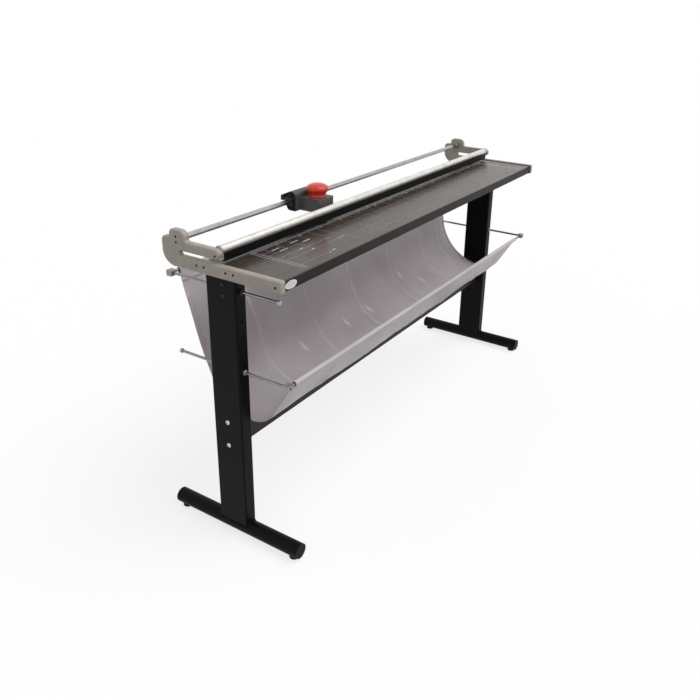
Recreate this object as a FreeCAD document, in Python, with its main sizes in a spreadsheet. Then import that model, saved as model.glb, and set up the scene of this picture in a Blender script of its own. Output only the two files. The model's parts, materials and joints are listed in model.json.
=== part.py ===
import FreeCAD, Part

import math
import os

import Sketcher

# Floor-standing rotary paper trimmer, in millimetres.
# X runs along the cut, the operator stands on the -Y side, Z is up and zero is the floor.
# The origin is the point of the floor midway between the two legs.

Vector = FreeCAD.Vector
Rotation = FreeCAD.Rotation


# Driving dimensions

DIMENSIONS = {
    # Table and knife
    "table_height": 822,
    "table_length": 1596,
    "table_front": 200,
    "cut_line": 52,
    "tray_sheet": 2,
    "tray_flange": 28,
    "tray_lip": 14,
    "tray_bend": 3,
    "lug_width": 38,
    "tray_screw_inset": 14,
    "tray_screw_drop": 15,
    "beam_depth": 27,
    "beam_drop": 28,
    "beam_wall": 2.5,
    "knife_thickness": 3,
    "knife_depth": 24,
    "knife_end_gap": 4,
    # Cast end plates
    "plate_thickness": 16,
    "plate_bar_depth": 34,
    "plate_bar_proud": 3,
    "plate_front_proud": 4,
    "plate_rear": 188,
    "plate_heel_radius": 42,
    "plate_edge_chamfer": 3,
    "plate_corner": 5,
    "lobe_front_root": 6,
    "lobe_rear_root": 3,
    "fillet_margin": 0.1,
    "plate_screw": 4,
    "plate_screw_head": 7,
    "plate_screw_head_depth": 4,
    "counterbore": 8,
    "counterbore_depth": 5,
    "screw_short": 0.4,
    "fit_gap": 0.2,
    "slide_gap": 0.3,
    "slot_rear": 128,
    "slot_height": 13,
    "arm_tip": 10,
    "arm_depth": 27,
    "lobe_front": 103,
    "lobe_rear": 160,
    "lobe_rise": 28,
    "lobe_front_radius": 20,
    "lobe_rear_radius": 15,
    "shoulder_rise": 5,
    "shoulder_radius": 13,
    # Guide rail and its sockets
    "rail_setback": 135,
    "rail_above_table": 44,
    "rail_width": 14,
    "socket_base": 8,
    "socket_sleeve": 24,
    "socket_sleeve_depth": 12,
    "socket_screw_spread": 15,
    # Clamp bar
    "clamp_setback": 3.5,
    "clamp_above_table": 36.5,
    "clamp_diameter": 22,
    "clamp_wall": 2.2,
    "clamp_travel": 6.7,
    "clamp_paper_gap": 0.3,
    "clamp_slot": 3.2,
    "strip_front": 9.5,
    "strip_rear": 9.5,
    "strip_edge": 2,
    "strip_shoulder": 8,
    "strip_tee": 8,
    "strip_tee_height": 1.5,
    "clamp_cap_collar": 6,
    "clamp_cap_diameter": 24,
    "clamp_cap_plug": 12,
    "clamp_end_gap": 0.5,
    "guide_key_width": 10,
    "guide_key_depth": 4,
    "guide_key_height": 18,
    "guide_groove_top": 2,
    "guide_screw": 5,
    "guide_screw_rise": 25,
    "clamp_lug_width": 16,
    "clamp_lug_depth": 8.5,
    "clamp_lug_drop": 24.5,
    "clamp_spring_wire": 0.9,
    "clamp_spring_outside": 5.4,
    "clamp_spring_bore": 6.2,
    "clamp_spring_length": 19,
    # Cutter head
    "head_rest": -294.5,
    "carriage_length": 125,
    "carriage_front": 106,
    "carriage_heel": 139,
    "carriage_rear": 161,
    "carriage_bottom": 19,
    "carriage_top": 77,
    "carriage_crown": 128,
    "hook_wall": 10,
    "hook_bottom": 47,
    "hook_top": 62,
    "hook_radius": 4,
    "small_round": 1,
    "crown_radius": 10,
    "bush_seat_front": 120,
    "bush_seat_bottom": 34,
    "bush_seat_top": 56,
    "bush_rear": 148.5,
    "bush_length": 24,
    "bush_recess": 4,
    "rib_thickness": 1.8,
    "recess_depth": 14,
    "moulding_wall": 2.6,
    "head_front": 32,
    "blade_side_room": 8.5,
    "blade_top_room": 3,
    "head_corner": 8,
    "head_roof": 4,
    "box_root": 4,
    "box_root_radius": 3,
    "boss_bite": 1,
    "head_post": 7,
    "head_post_inset": 7,
    "base_plate_sheet": 2,
    "head_screw": 3,
    "head_screw_hold": 9,
    "barrel_radius": 12,
    "barrel_heel_radius": 14,
    # Rotary blade
    "blade_diameter": 56,
    "blade_thickness": 1.5,
    "blade_bevel": 2.5,
    "blade_overlap": 4,
    "blade_gap": 0.1,
    "blade_slot_gap": 1,
    "blade_slot_rear": 76,
    "hub_spigot": 13,
    "hub_flange": 24,
    "hub_flange_depth": 4.4,
    "axle_diameter": 6,
    "axle_head": 9.6,
    "axle_head_depth": 3.5,
    "axle_hold": 28,
    "boss_front": 72,
    "boss_diameter": 9.6,
    "running_gap": 0.05,
    # Palm knob
    "knob_waist": 51,
    "knob_waist_height": 10,
    "knob_width": 69,
    "knob_rim_low": 22,
    "knob_rim_high": 29,
    "knob_crown": 50,
    "knob_crown_height": 37,
    "knob_flat": 20,
    "knob_height": 41,
    "stud_diameter": 8,
    "stud_head": 13,
    "stud_head_depth": 4.5,
    "stud_reach": 20,
    # Stand
    "leg_inset": 10,
    "leg_width": 40,
    "leg_depth": 100,
    "leg_wall": 2,
    "leg_corner": 6,
    "bracket_sheet": 4,
    "bracket_centre": 6.5,
    "bracket_length": 146,
    "bracket_screw_inner": 36,
    "bracket_screw_outer": 61,
    "bracket_screw_drop": 12,
    "tongue_length": 70,
    "tongue_width": 60,
    "leg_screw_inset": 18,
    "leg_screw_pitch": 32,
    "leg_screw_offset": 8,
    "leg_screw": 6,
    "leg_screw_head": 10,
    "leg_screw_head_depth": 3,
    "spare_hole": 7,
    "curve_gap": 0.1,
    "foot_length": 452,
    "foot_diameter": 44,
    "foot_wall": 2.5,
    "foot_axis": 28.5,
    "foot_cap_flange": 4,
    "foot_cap_plug": 16,
    "rubber_foot": 29,
    "rubber_foot_wrap": 5,
    "rubber_foot_inset": 23,
    "stretcher_centre": 334,
    "stretcher_bottom": 284,
    "stretcher_height": 78,
    "stretcher_depth": 20,
    "stretcher_wall": 2,
    "stretcher_end_plate": 4,
    "bolt_plate_width": 38,
    "bolt_plate_height": 100,
    "stretcher_bolt": 8,
    "stretcher_bolt_spread": 72,
    "stretcher_bolt_head": 14,
    "stretcher_bolt_head_depth": 4,
    # Catcher frame and cloth
    "rod_diameter": 8,
    "upper_rod_drop": 66,
    "upper_rod_front": 169,
    "upper_rod_front_right": 120,
    "upper_rod_rear": 193,
    "lower_rod_height": 529,
    "lower_rod_front": 194,
    "lower_rod_rear": 173,
    "rod_cap": 13,
    "rod_cap_length": 8,
    "corner_block_width": 20,
    "corner_block_height": 16,
    "corner_block_depth": 18,
    "long_rod_hold": 6,
    "grub_screw": 7,
    "spare_hole_drop": 149,
    "cloth_width": 1516,
    "cloth_thickness": 2,
    "cloth_bottom": 368.5,
    "cloth_bottom_right": 375,
    "cloth_bottom_front": 45,
    "cloth_rear_radius": 141,
    "cloth_rear_radius_right": 200,
    "cloth_front_radius": 92,
    "cloth_fold": 3,
    "cloth_stations": 7,
    "hem_inside": 9,
    "hem_outside": 14,
    "hem_bite": 1,
}


class Size:
    """A length that knows its value and the expression that gives it."""

    def __init__(self, value, text):
        self.value = float(value)
        self.text = text

    def joined(self, other, sign, value):
        return Size(value, "(%s %s %s)" % (self.text, sign, as_size(other).text))

    def __add__(self, other):
        return self.joined(other, "+", self.value + as_size(other).value)

    def __sub__(self, other):
        return self.joined(other, "-", self.value - as_size(other).value)

    def __mul__(self, other):
        return self.joined(other, "*", self.value * as_size(other).value)

    def __truediv__(self, other):
        return self.joined(other, "/", self.value / as_size(other).value)

    def __neg__(self):
        return Size(-self.value, "(-%s)" % self.text)


def as_size(number):
    """A plain number becomes a size, and a size stays as it is."""
    return number if isinstance(number, Size) else Size(number, repr(float(number)))


class Sizes:
    """The driving dimensions, by name, each tied to its cell of the sheet."""


doc = FreeCAD.newDocument("paper_trimmer")
sheet = doc.addObject("Spreadsheet::Sheet", "Sizes")
size = Sizes()
for row, (name, number) in enumerate(DIMENSIONS.items(), 1):
    sheet.set("A%d" % row, name)
    sheet.set("B%d" % row, str(number))
    sheet.setAlias("B%d" % row, name)
    setattr(size, name, Size(number, "Sizes." + name))
doc.recompute()

# How small round pieces are drawn, how far a cut runs past a face, and what counts as zero
SMALL_ROUND_SIDES = 12
RING_SIDES = 8
HEX_SIDES = 6
FULL_TURN = 360
HALF = 0.5
FLAT_TOP_TURN = 90
FLUSH_CUT = 1.0
NO_LENGTH = 1e-3
SAME_PLACE = 0.01


# Ways of making solids, all tied to the sheet

ALONG = {
    "+X": Rotation(Vector(0, 1, 0), 90),
    "-X": Rotation(Vector(0, 1, 0), -90),
    "+Y": Rotation(Vector(1, 0, 0), -90),
    "-Y": Rotation(Vector(1, 0, 0), 90),
    "+Z": Rotation(),
    "-Z": Rotation(Vector(1, 0, 0), 180),
}

parts = []


def bind(obj, prop, length):
    """Tie one property of an object to the sheet."""
    obj.setExpression(prop, as_size(length).text)


def place(obj, x, y, z, direction="+Z", turn=0):
    """Put an object's own origin at a point, with its own Z along a direction."""
    spin = Rotation(Vector(0, 0, 1), turn)
    obj.Placement = FreeCAD.Placement(Vector(0, 0, 0), ALONG[direction] * spin)
    bind(obj, "Placement.Base.x", x)
    bind(obj, "Placement.Base.y", y)
    bind(obj, "Placement.Base.z", z)
    return obj


def keep(name, obj):
    """List an object as one sub-part under its name."""
    obj.Label = name
    parts.append(obj)
    return obj


def box(name, x, y, z):
    """A block between the low and the high size given for each axis."""
    block = doc.addObject("Part::Box", name)
    bind(block, "Length", as_size(x[1]) - x[0])
    bind(block, "Width", as_size(y[1]) - y[0])
    bind(block, "Height", as_size(z[1]) - z[0])
    return place(block, x[0], y[0], z[0])


def rod(name, diameter, length, x, y, z, direction):
    """A cylinder that starts at a point and runs in a direction."""
    bar = doc.addObject("Part::Cylinder", name)
    bind(bar, "Radius", as_size(diameter) / 2)
    bind(bar, "Height", length)
    return place(bar, x, y, z, direction)


def half_side_cosine(sides):
    """The radius to a flat of a regular bar, as a share of the radius to its corners."""
    angle = FULL_TURN / sides / 2
    return Size(math.cos(math.radians(angle)), "cos(%s deg)" % angle)


def hexagon(name, across_flats, length, x, y, z, direction, turn=0, sides=HEX_SIDES):
    """A bar with flat sides, by its width across the flats."""
    bar = doc.addObject("Part::Prism", name)
    bar.Polygon = sides
    bind(bar, "Circumradius", as_size(across_flats) / 2 / half_side_cosine(sides))
    bind(bar, "Height", length)
    return place(bar, x, y, z, direction, turn)


def small_rod(name, diameter, length, x, y, z, direction):
    """A small pin or hole, drawn with twelve flats because there are many of them."""
    return hexagon(name, diameter, length, x, y, z, direction, sides=SMALL_ROUND_SIDES)


def small_ring(x, y, radius):
    """The outline of a small pin or hole in a sketch, with flats of which one lies below it."""
    reach = as_size(radius) / half_side_cosine(RING_SIDES)
    corners = []
    for step in range(RING_SIDES):
        angle = (step + HALF) * FULL_TURN / RING_SIDES
        across = Size(math.cos(math.radians(angle)), "cos(%s deg)" % angle)
        along = Size(math.sin(math.radians(angle)), "sin(%s deg)" % angle)
        corners.append((as_size(x) + reach * across, as_size(y) + reach * along))
    return corners


def group(name, members):
    """Several separate solids under one name."""
    compound = doc.addObject("Part::Compound", name)
    compound.Links = members
    return compound


def fuse(name, members):
    """One solid from several."""
    whole = doc.addObject("Part::MultiFuse", name)
    whole.Shapes = members
    return whole


def cut(name, base, tools):
    """A solid with tools taken away from it."""
    tool = tools[0] if len(tools) == 1 else group(name + "_tools", tools)
    left = doc.addObject("Part::Cut", name)
    left.Base = base
    left.Tool = tool
    return left


def mirrored(name, source):
    """The right-hand copy of a left-hand piece."""
    copy = doc.addObject("Part::Mirroring", name)
    copy.Source = source
    copy.Normal = Vector(1, 0, 0)
    return copy


def body_with_sketch(name, plane, outlines):
    """A body with one sketch on an origin plane, each vertex tied to the sheet.

    An outline is a list of corners. An entry ("arc", radius, side) between two corners joins them
    with an arc; side is 1 where it bulges to the right of the way from the first to the second.
    """
    body = doc.addObject("PartDesign::Body", name + "_body")
    add_sketch(body, name, plane, outlines)
    return body


def add_sketch(body, name, plane, outlines):
    """Put a sketch with its outlines on one of the body's origin planes."""
    sketch = body.newObject("Sketcher::SketchObject", name + "_sketch")
    support = [item for item in body.Origin.OriginFeatures if item.Role == plane][0]
    sketch.AttachmentSupport = [(support, "")]
    sketch.MapMode = "FlatFace"
    for outline in outlines:
        add_outline(sketch, outline)
    return sketch


def flat_point(corner):
    """A corner of an outline as a point of its sketch."""
    return Vector(as_size(corner[0]).value, as_size(corner[1]).value, 0)


def middle_of_arc(start, end, radius, side):
    """The point halfway along an arc of under a half circle."""
    chord = end - start
    half = chord.Length / 2
    rise = radius - math.sqrt(radius ** 2 - half ** 2)
    outward = Vector(chord.y, -chord.x, 0).normalize()
    return (start + end) / 2 + outward * (rise * side)


def add_outline(sketch, outline):
    """Draw one closed outline of lines and arcs, with its corners and radii tied to the sheet."""
    first = len(sketch.Geometry)
    corners = [entry for entry in outline if entry[0] != "arc"]
    arcs = {}
    for i, entry in enumerate(outline):
        if entry[0] == "arc":
            arcs[len([e for e in outline[:i] if e[0] != "arc"]) - 1] = entry
    for i, corner in enumerate(corners):
        start = flat_point(corner)
        end = flat_point(corners[(i + 1) % len(corners)])
        if i in arcs:
            middle = middle_of_arc(start, end, as_size(arcs[i][1]).value, arcs[i][2])
            sketch.addGeometry(Part.Arc(start, middle, end), False)
        else:
            sketch.addGeometry(Part.LineSegment(start, end), False)
    ends = [drawn_ends(sketch, first + i, flat_point(corner)) for i, corner in enumerate(corners)]
    for i in range(len(corners)):
        following = (i + 1) % len(corners)
        joint = (first + i, ends[i][1], first + following, ends[following][0])
        sketch.addConstraint(Sketcher.Constraint("Coincident", *joint))
    for i, corner in enumerate(corners):
        tie_point(sketch, first + i, ends[i][0], corner)
        if i in arcs:
            tie_radius(sketch, first + i, arcs[i][1])


def tie_radius(sketch, number, radius):
    """Tie the radius of one drawn arc to the sheet."""
    radius = as_size(radius)
    constraint = sketch.addConstraint(Sketcher.Constraint("Radius", number, radius.value))
    sketch.setExpression("Constraints[%d]" % constraint, radius.text)


def drawn_ends(sketch, number, start):
    """Which end of a drawn edge is its start: an arc may be stored the other way round."""
    if sketch.getPoint(number, 1).distanceToPoint(start) < NO_LENGTH:
        return (1, 2)
    return (2, 1)


def tie_point(sketch, number, end, corner):
    """Tie one end of a drawn edge to its corner of the outline."""
    for kind, length in (("DistanceX", corner[0]), ("DistanceY", corner[1])):
        length = as_size(length)
        datum = Sketcher.Constraint(kind, -1, 1, number, end, length.value)
        constraint = sketch.addConstraint(datum)
        sketch.setExpression("Constraints[%d]" % constraint, length.text)


def pad(body, name, length, reverse=False):
    """Push the body's last sketch out to a length."""
    feature = body.newObject("PartDesign::Pad", name + "_pad")
    feature.Profile = body.Group[-2]
    bind(feature, "Length", length)
    feature.Reversed = reverse
    doc.recompute()
    return feature


def revolve(body, name, axis):
    """Turn the body's last sketch right round one of its own axes."""
    feature = body.newObject("PartDesign::Revolution", name + "_revolution")
    feature.Profile = body.Group[-2]
    feature.ReferenceAxis = (body.Group[-2], [axis])
    feature.Angle = FULL_TURN
    doc.recompute()
    return feature


def dress_edges(body, name, kind, prop, length, wanted):
    """Round or chamfer the edges of the body's last feature that a test picks out."""
    last = body.Tip
    names = ["Edge%d" % (i + 1) for i, edge in enumerate(last.Shape.Edges) if wanted(edge)]
    feature = body.newObject(kind, name)
    feature.Base = (last, names)
    bind(feature, prop, length)
    doc.recompute()
    return feature


def round_edges(body, name, radius, wanted):
    """Round the edges that a test picks out."""
    return dress_edges(body, name, "PartDesign::Fillet", "Radius", radius, wanted)


def chamfer_edges(body, name, length, wanted):
    """Chamfer the edges that a test picks out."""
    return dress_edges(body, name, "PartDesign::Chamfer", "Size", length, wanted)


def lengthwise_at(y, z):
    """A test for the straight edge that runs along X through a point of the section."""
    def wanted(edge):
        extent = edge.BoundBox
        straight = extent.YLength < NO_LENGTH and extent.ZLength < NO_LENGTH
        here = abs(extent.YMin - as_size(y).value) < SAME_PLACE
        return straight and here and abs(extent.ZMin - as_size(z).value) < SAME_PLACE
    return wanted


def upright_at(x, y):
    """A test for the upright edge through a point of the plan."""
    def wanted(edge):
        extent = edge.BoundBox
        straight = extent.XLength < NO_LENGTH and extent.YLength < NO_LENGTH
        here = abs(extent.XMin - as_size(x).value) < SAME_PLACE
        return straight and here and abs(extent.YMin - as_size(y).value) < SAME_PLACE
    return wanted


def prism_along_x(name, outline, start, length, rounds=()):
    """A section in Y and Z pushed along X, with some of its corners rounded."""
    body = body_with_sketch(name, "YZ_Plane", [outline])
    pad(body, name, length)
    for number, (y, z, radius) in enumerate(rounds):
        round_edges(body, "%s_round_%d" % (name, number), radius, lengthwise_at(y, z))
    bind(body, "Placement.Base.x", start)
    return body


def turned(name, outline, x, y, z, direction):
    """A body of revolution: the outline gives radius and height, the height runs in a direction."""
    body = body_with_sketch(name, "XZ_Plane", [outline])
    revolve(body, name, "V_Axis")
    return place(body, x, y, z, direction)


def bolt(name, diameter, head, head_depth, length, x, y, z, direction):
    """A hexagon-head screw, its head's underside at the point and its shank along the direction."""
    shank_width = as_size(diameter) * half_side_cosine(HEX_SIDES)
    shank = hexagon(name + "_shank", shank_width, length, 0, 0, 0, "+Z")
    top = hexagon(name + "_head", head, head_depth, 0, 0, -as_size(head_depth), "+Z")
    return place(fuse(name, [shank, top]), x, y, z, direction)


# Places that several pieces share

half_length = size.table_length / 2
plate_outside = half_length + size.plate_thickness
tray_underside = size.table_height - size.tray_sheet
knife_front = size.cut_line - size.knife_thickness
beam_front = knife_front - size.beam_depth
bar_top = size.table_height + size.plate_bar_proud
bar_bottom = bar_top - size.plate_bar_depth
arm_bottom = bar_top + size.slot_height
arm_top = arm_bottom + size.arm_depth
lobe_top = arm_top + size.lobe_rise
shoulder_top = arm_top + size.shoulder_rise
rail_height = size.table_height + size.rail_above_table
clamp_height = size.table_height + size.clamp_above_table
leg_outside = plate_outside - size.leg_inset
leg_inside = leg_outside - size.leg_width
leg_centre = leg_outside - size.leg_width / 2
guide_height = size.table_height + size.guide_screw_rise
head_axis = size.table_height - size.blade_overlap + size.blade_diameter / 2


# Table tray: one folded sheet with a front flange, and a bent lug at each end

tray_front = -size.table_front
tray_low = size.table_height - size.tray_flange
tray_inner_front = tray_front + size.tray_sheet
tray_lip_rear = tray_front + size.tray_lip
tray_sheet = prism_along_x(
    "tray_sheet",
    [
        (tray_front, size.table_height),
        (knife_front, size.table_height),
        (knife_front, tray_underside),
        (tray_inner_front, tray_underside),
        (tray_inner_front, tray_low + size.tray_sheet),
        (tray_lip_rear, tray_low + size.tray_sheet),
        (tray_lip_rear, tray_low),
        (tray_front, tray_low),
    ],
    -half_length,
    size.table_length,
    rounds=[
        (tray_front, size.table_height, size.tray_bend),
        (tray_front, tray_low, size.tray_bend),
        (tray_inner_front, tray_underside, size.tray_bend - size.tray_sheet),
        (tray_inner_front, tray_low + size.tray_sheet, size.tray_bend - size.tray_sheet),
    ],
)
tray_lug = box(
    "tray_lug",
    (-half_length, -half_length + size.tray_sheet),
    (tray_inner_front, tray_inner_front + size.lug_width),
    (tray_low, tray_underside + FLUSH_CUT),
)
tray_screw_y = tray_front + size.tray_screw_inset
tray_screw_z = size.table_height - size.tray_screw_drop
tray_screw_hole = small_rod("tray_screw_hole", size.plate_screw + size.fit_gap,
                            size.tray_sheet + FLUSH_CUT * 2, -half_length - FLUSH_CUT,
                            tray_screw_y, tray_screw_z, "+X")
left_lug = cut("left_lug", tray_lug, [tray_screw_hole])
tray_blank = fuse("tray_blank", [tray_sheet, left_lug, mirrored("right_lug", left_lug)])
keep("table_tray", tray_blank)


# Knife beam and the fixed knife on its rear face

beam_bottom = tray_underside - size.beam_drop
beam_half = half_length - size.bracket_sheet
beam_block = box("beam_block", (-beam_half, beam_half), (beam_front, knife_front),
                 (beam_bottom, tray_underside))
beam_bore = box(
    "beam_bore",
    (-beam_half - FLUSH_CUT, beam_half + FLUSH_CUT),
    (beam_front + size.beam_wall, knife_front - size.beam_wall),
    (beam_bottom + size.beam_wall, tray_underside - size.beam_wall),
)
knife_half = half_length - size.bracket_sheet - size.knife_end_gap / 2
knife_bar = box("knife_bar", (-knife_half, knife_half), (knife_front, size.cut_line),
                (size.table_height - size.knife_depth, size.table_height))
keep("knife_beam", cut("knife_beam_cut", beam_block, [beam_bore]))
keep("fixed_knife", knife_bar)


# End plates: one casting each, with the bar, the slot for wide sheets, the arm and the rail lobe

plate_front = -size.table_front - size.plate_front_proud
slot_round = size.slot_height / 2 - size.fillet_margin
tip_round = size.arm_depth / 2 - size.fillet_margin
plate_body = prism_along_x(
    "plate_blank",
    [
        (plate_front, bar_bottom),
        (plate_front, bar_top),
        (size.slot_rear, bar_top),
        (size.slot_rear, arm_bottom),
        (-size.arm_tip, arm_bottom),
        (-size.arm_tip, arm_top),
        (size.lobe_front, arm_top),
        (size.lobe_front, lobe_top),
        (size.lobe_rear, lobe_top),
        (size.lobe_rear, shoulder_top),
        (size.plate_rear, shoulder_top),
        (size.plate_rear, bar_bottom),
    ],
    -plate_outside,
    size.plate_thickness,
    rounds=[
        (plate_front, bar_bottom, size.plate_corner),
        (plate_front, bar_top, size.plate_corner),
        (size.slot_rear, bar_top, slot_round),
        (size.slot_rear, arm_bottom, slot_round),
        (-size.arm_tip, arm_bottom, tip_round),
        (-size.arm_tip, arm_top, tip_round),
        (size.lobe_front, arm_top, size.lobe_front_root),
        (size.lobe_front, lobe_top, size.lobe_front_radius),
        (size.lobe_rear, lobe_top, size.lobe_rear_radius),
        (size.lobe_rear, shoulder_top, size.lobe_rear_root),
        (size.plate_rear, shoulder_top, size.shoulder_radius),
        (size.plate_rear, bar_bottom, size.plate_heel_radius),
    ],
)


def on_outer_face(edge):
    """A test for the edges of the plate's outer face."""
    extent = edge.BoundBox
    return extent.XLength < NO_LENGTH and abs(extent.XMin) < NO_LENGTH


chamfer_edges(plate_body, "plate_rim", size.plate_edge_chamfer, on_outer_face)

bracket_screw_z = size.table_height - size.bracket_screw_drop
plate_screw_places = [
    (size.bracket_centre + offset, bracket_screw_z)
    for offset in (-size.bracket_screw_outer, -size.bracket_screw_inner,
                   size.bracket_screw_inner, size.bracket_screw_outer)
]
socket_screw_places = [
    (size.rail_setback, rail_height - size.socket_screw_spread / 2),
    (size.rail_setback, rail_height + size.socket_screw_spread / 2),
]
tray_screw_place = (tray_screw_y, tray_screw_z)
guide_screw_place = (size.clamp_setback, guide_height)
head_seat = -plate_outside + size.counterbore_depth


def screw_recess(name, place_yz, diameter):
    """The counterbore and the hole that a screw needs in the left end plate."""
    y, z = place_yz
    recess = small_rod(name + "_recess", size.counterbore, size.counterbore_depth + FLUSH_CUT,
                       -plate_outside - FLUSH_CUT, y, z, "+X")
    hole = hexagon(name + "_hole", diameter + size.fit_gap, size.plate_thickness + FLUSH_CUT,
                   head_seat, y, z, "+X")
    return [recess, hole]


plate_tools = []
for number, yz in enumerate(plate_screw_places + socket_screw_places + [tray_screw_place]):
    plate_tools += screw_recess("plate_place_%d" % number, yz, size.plate_screw)
plate_tools += screw_recess("guide_place", guide_screw_place, size.guide_screw)
key_half = size.guide_key_width / 2
plate_tools.append(box(
    "guide_groove",
    (-half_length - size.guide_key_depth, -half_length + FLUSH_CUT),
    (size.clamp_setback - key_half, size.clamp_setback + key_half),
    (arm_bottom - FLUSH_CUT, clamp_height + size.guide_groove_top),
))
left_plate = cut("left_plate_cut", plate_body, plate_tools)
keep("left_end_plate", left_plate)
keep("right_end_plate", mirrored("right_plate_copy", left_plate))


def plate_screw(name, yz, length, diameter=size.plate_screw):
    """A screw in a counterbore of the left end plate."""
    y, z = yz
    return bolt(name, diameter, size.plate_screw_head, size.plate_screw_head_depth,
                length, head_seat, y, z, "+X")


def both_sides(name, screws):
    """A left-hand set and its right-hand copy as one group."""
    left_set = group(name + "_left", screws)
    return group(name, [left_set, mirrored(name + "_right", left_set)])


screw_run = size.plate_thickness - size.counterbore_depth
bracket_run = screw_run + size.bracket_sheet - size.screw_short
keep("bracket_screws", both_sides("bracket_screw_set", [
    plate_screw("bracket_screw_%d" % number, yz, bracket_run)
    for number, yz in enumerate(plate_screw_places)
]))
tray_run = screw_run + size.tray_sheet * 2
keep("tray_screws", both_sides("tray_screw_set", [
    plate_screw("tray_screw", tray_screw_place, tray_run),
]))
socket_run = screw_run + size.socket_base - size.screw_short
keep("rail_socket_screws", both_sides("socket_screw_set", [
    plate_screw("socket_screw_%d" % number, yz, socket_run)
    for number, yz in enumerate(socket_screw_places)
]))
guide_run = screw_run + size.clamp_end_gap + size.clamp_cap_collar - size.slide_gap
keep("clamp_guide_screws", both_sides("guide_screw_set", [
    plate_screw("guide_screw", guide_screw_place, guide_run, size.guide_screw),
]))


# Guide rail, a hexagonal bar with flats above and below, held in a socket at each end

rail_half = half_length - size.socket_base
keep("guide_rail", hexagon("rail_bar", size.rail_width, rail_half * 2, -rail_half,
                           size.rail_setback, rail_height, "+X", FLAT_TOP_TURN))
socket_blank = rod("socket_sleeve", size.socket_sleeve,
                   size.socket_base + size.socket_sleeve_depth, -half_length,
                   size.rail_setback, rail_height, "+X")
socket_bore = hexagon("socket_bore", size.rail_width + size.fit_gap,
                      size.socket_sleeve_depth + FLUSH_CUT, -rail_half,
                      size.rail_setback, rail_height, "+X", FLAT_TOP_TURN)
socket_holes = [
    hexagon("socket_hole_%d" % number, size.plate_screw + size.fit_gap,
            size.socket_base + FLUSH_CUT, -half_length - FLUSH_CUT, y, z, "+X")
    for number, (y, z) in enumerate(socket_screw_places)
]
left_socket = cut("left_socket_cut", socket_blank, [socket_bore] + socket_holes)
keep("rail_sockets", both_sides("rail_socket_set", [left_socket]))


# Clamp bar: slotted tube, pressure strip below it and a cap at each end that slides on its screw

cap_outside = half_length - size.clamp_end_gap
tube_half = cap_outside - size.clamp_cap_collar
tube_blank = rod("tube_blank", size.clamp_diameter, tube_half * 2, -tube_half,
                 size.clamp_setback, clamp_height, "+X")
tube_inside = size.clamp_diameter - size.clamp_wall * 2
tube_bore = rod("tube_bore", tube_inside, tube_half * 2 + FLUSH_CUT * 2, -tube_half - FLUSH_CUT,
                size.clamp_setback, clamp_height, "+X")
slot_half = size.clamp_slot / 2
tube_slot = box("tube_slot", (-tube_half - FLUSH_CUT, tube_half + FLUSH_CUT),
                (size.clamp_setback - slot_half, size.clamp_setback + slot_half),
                (clamp_height - size.clamp_diameter, clamp_height))
keep("clamp_tube", cut("clamp_tube_cut", tube_blank, [tube_bore, tube_slot]))

strip_half = cap_outside - size.clamp_lug_depth - size.slide_gap
saddle = size.clamp_diameter / 2 + size.slide_gap / 2
strip_low = size.table_height + size.clamp_travel + size.clamp_paper_gap
shoulder = size.strip_shoulder
neck = slot_half - size.slide_gap / 2
tee = size.strip_tee / 2


def under_circle(radius, offset):
    """How far below a circle's centre the circle lies at a sideways offset."""
    depth = math.sqrt(radius.value ** 2 - offset.value ** 2)
    return Size(depth, "sqrt(pow(%s; 2) - pow(%s; 2))" % (radius.text, offset.text))


tee_low = clamp_height - under_circle(tube_inside / 2, tee) + size.slide_gap / 2
centre = size.clamp_setback

lug_half = size.clamp_lug_width / 2
lug_low = clamp_height - size.clamp_lug_drop
plug_width = (tube_inside - size.fit_gap) * half_side_cosine(SMALL_ROUND_SIDES)
cap_blank = fuse("cap_blank", [
    rod("cap_collar", size.clamp_cap_diameter, size.clamp_cap_collar, -cap_outside,
        size.clamp_setback, clamp_height, "+X"),
    small_rod("cap_plug", plug_width, size.clamp_cap_plug, -tube_half, size.clamp_setback,
              clamp_height, "+X"),
    box("cap_lug", (-cap_outside, -cap_outside + size.clamp_lug_depth),
        (size.clamp_setback - lug_half, size.clamp_setback + lug_half), (lug_low, clamp_height)),
    box("cap_key", (-half_length - size.guide_key_depth + size.slide_gap, -cap_outside),
        (size.clamp_setback - key_half + size.slide_gap,
         size.clamp_setback + key_half - size.slide_gap),
        (clamp_height - size.guide_key_height, clamp_height)),
])
screw_half = size.guide_screw / 2 + size.slide_gap
key_slot = box(
    "cap_key_slot",
    (-half_length - size.guide_key_depth, -cap_outside + size.clamp_lug_depth + FLUSH_CUT),
    (size.clamp_setback - screw_half, size.clamp_setback + screw_half),
    (guide_height - screw_half, guide_height + screw_half + size.clamp_travel),
)
tube_seat = rod("cap_tube_seat", size.clamp_diameter + size.fit_gap, size.clamp_cap_plug
                + FLUSH_CUT, -tube_half, size.clamp_setback, clamp_height, "+X")
plug_again = small_rod("cap_plug_core", plug_width, size.clamp_cap_plug, -tube_half,
                       size.clamp_setback, clamp_height, "+X")
spring_x = -cap_outside + size.clamp_lug_depth / 2
spring_top = size.table_height + size.clamp_spring_length
spring_hole = small_rod("cap_spring_hole", size.clamp_spring_bore,
                        spring_top - lug_low + FLUSH_CUT, spring_x, size.clamp_setback,
                        lug_low - FLUSH_CUT, "+Z")
lug_clearance = cut("cap_tube_clearance", tube_seat, [plug_again])
tee_clearance = box(
    "cap_tee_clearance",
    (-strip_half - size.slide_gap, -tube_half + size.clamp_cap_plug + FLUSH_CUT),
    (centre - tee - size.slide_gap, centre + tee + size.slide_gap),
    (clamp_height - size.clamp_diameter, tee_low + size.strip_tee_height + size.slide_gap),
)
left_cap = cut("left_cap_cut", cap_blank, [key_slot, spring_hole, lug_clearance, tee_clearance])
keep("clamp_end_caps", both_sides("clamp_cap_set", [left_cap]))

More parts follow.
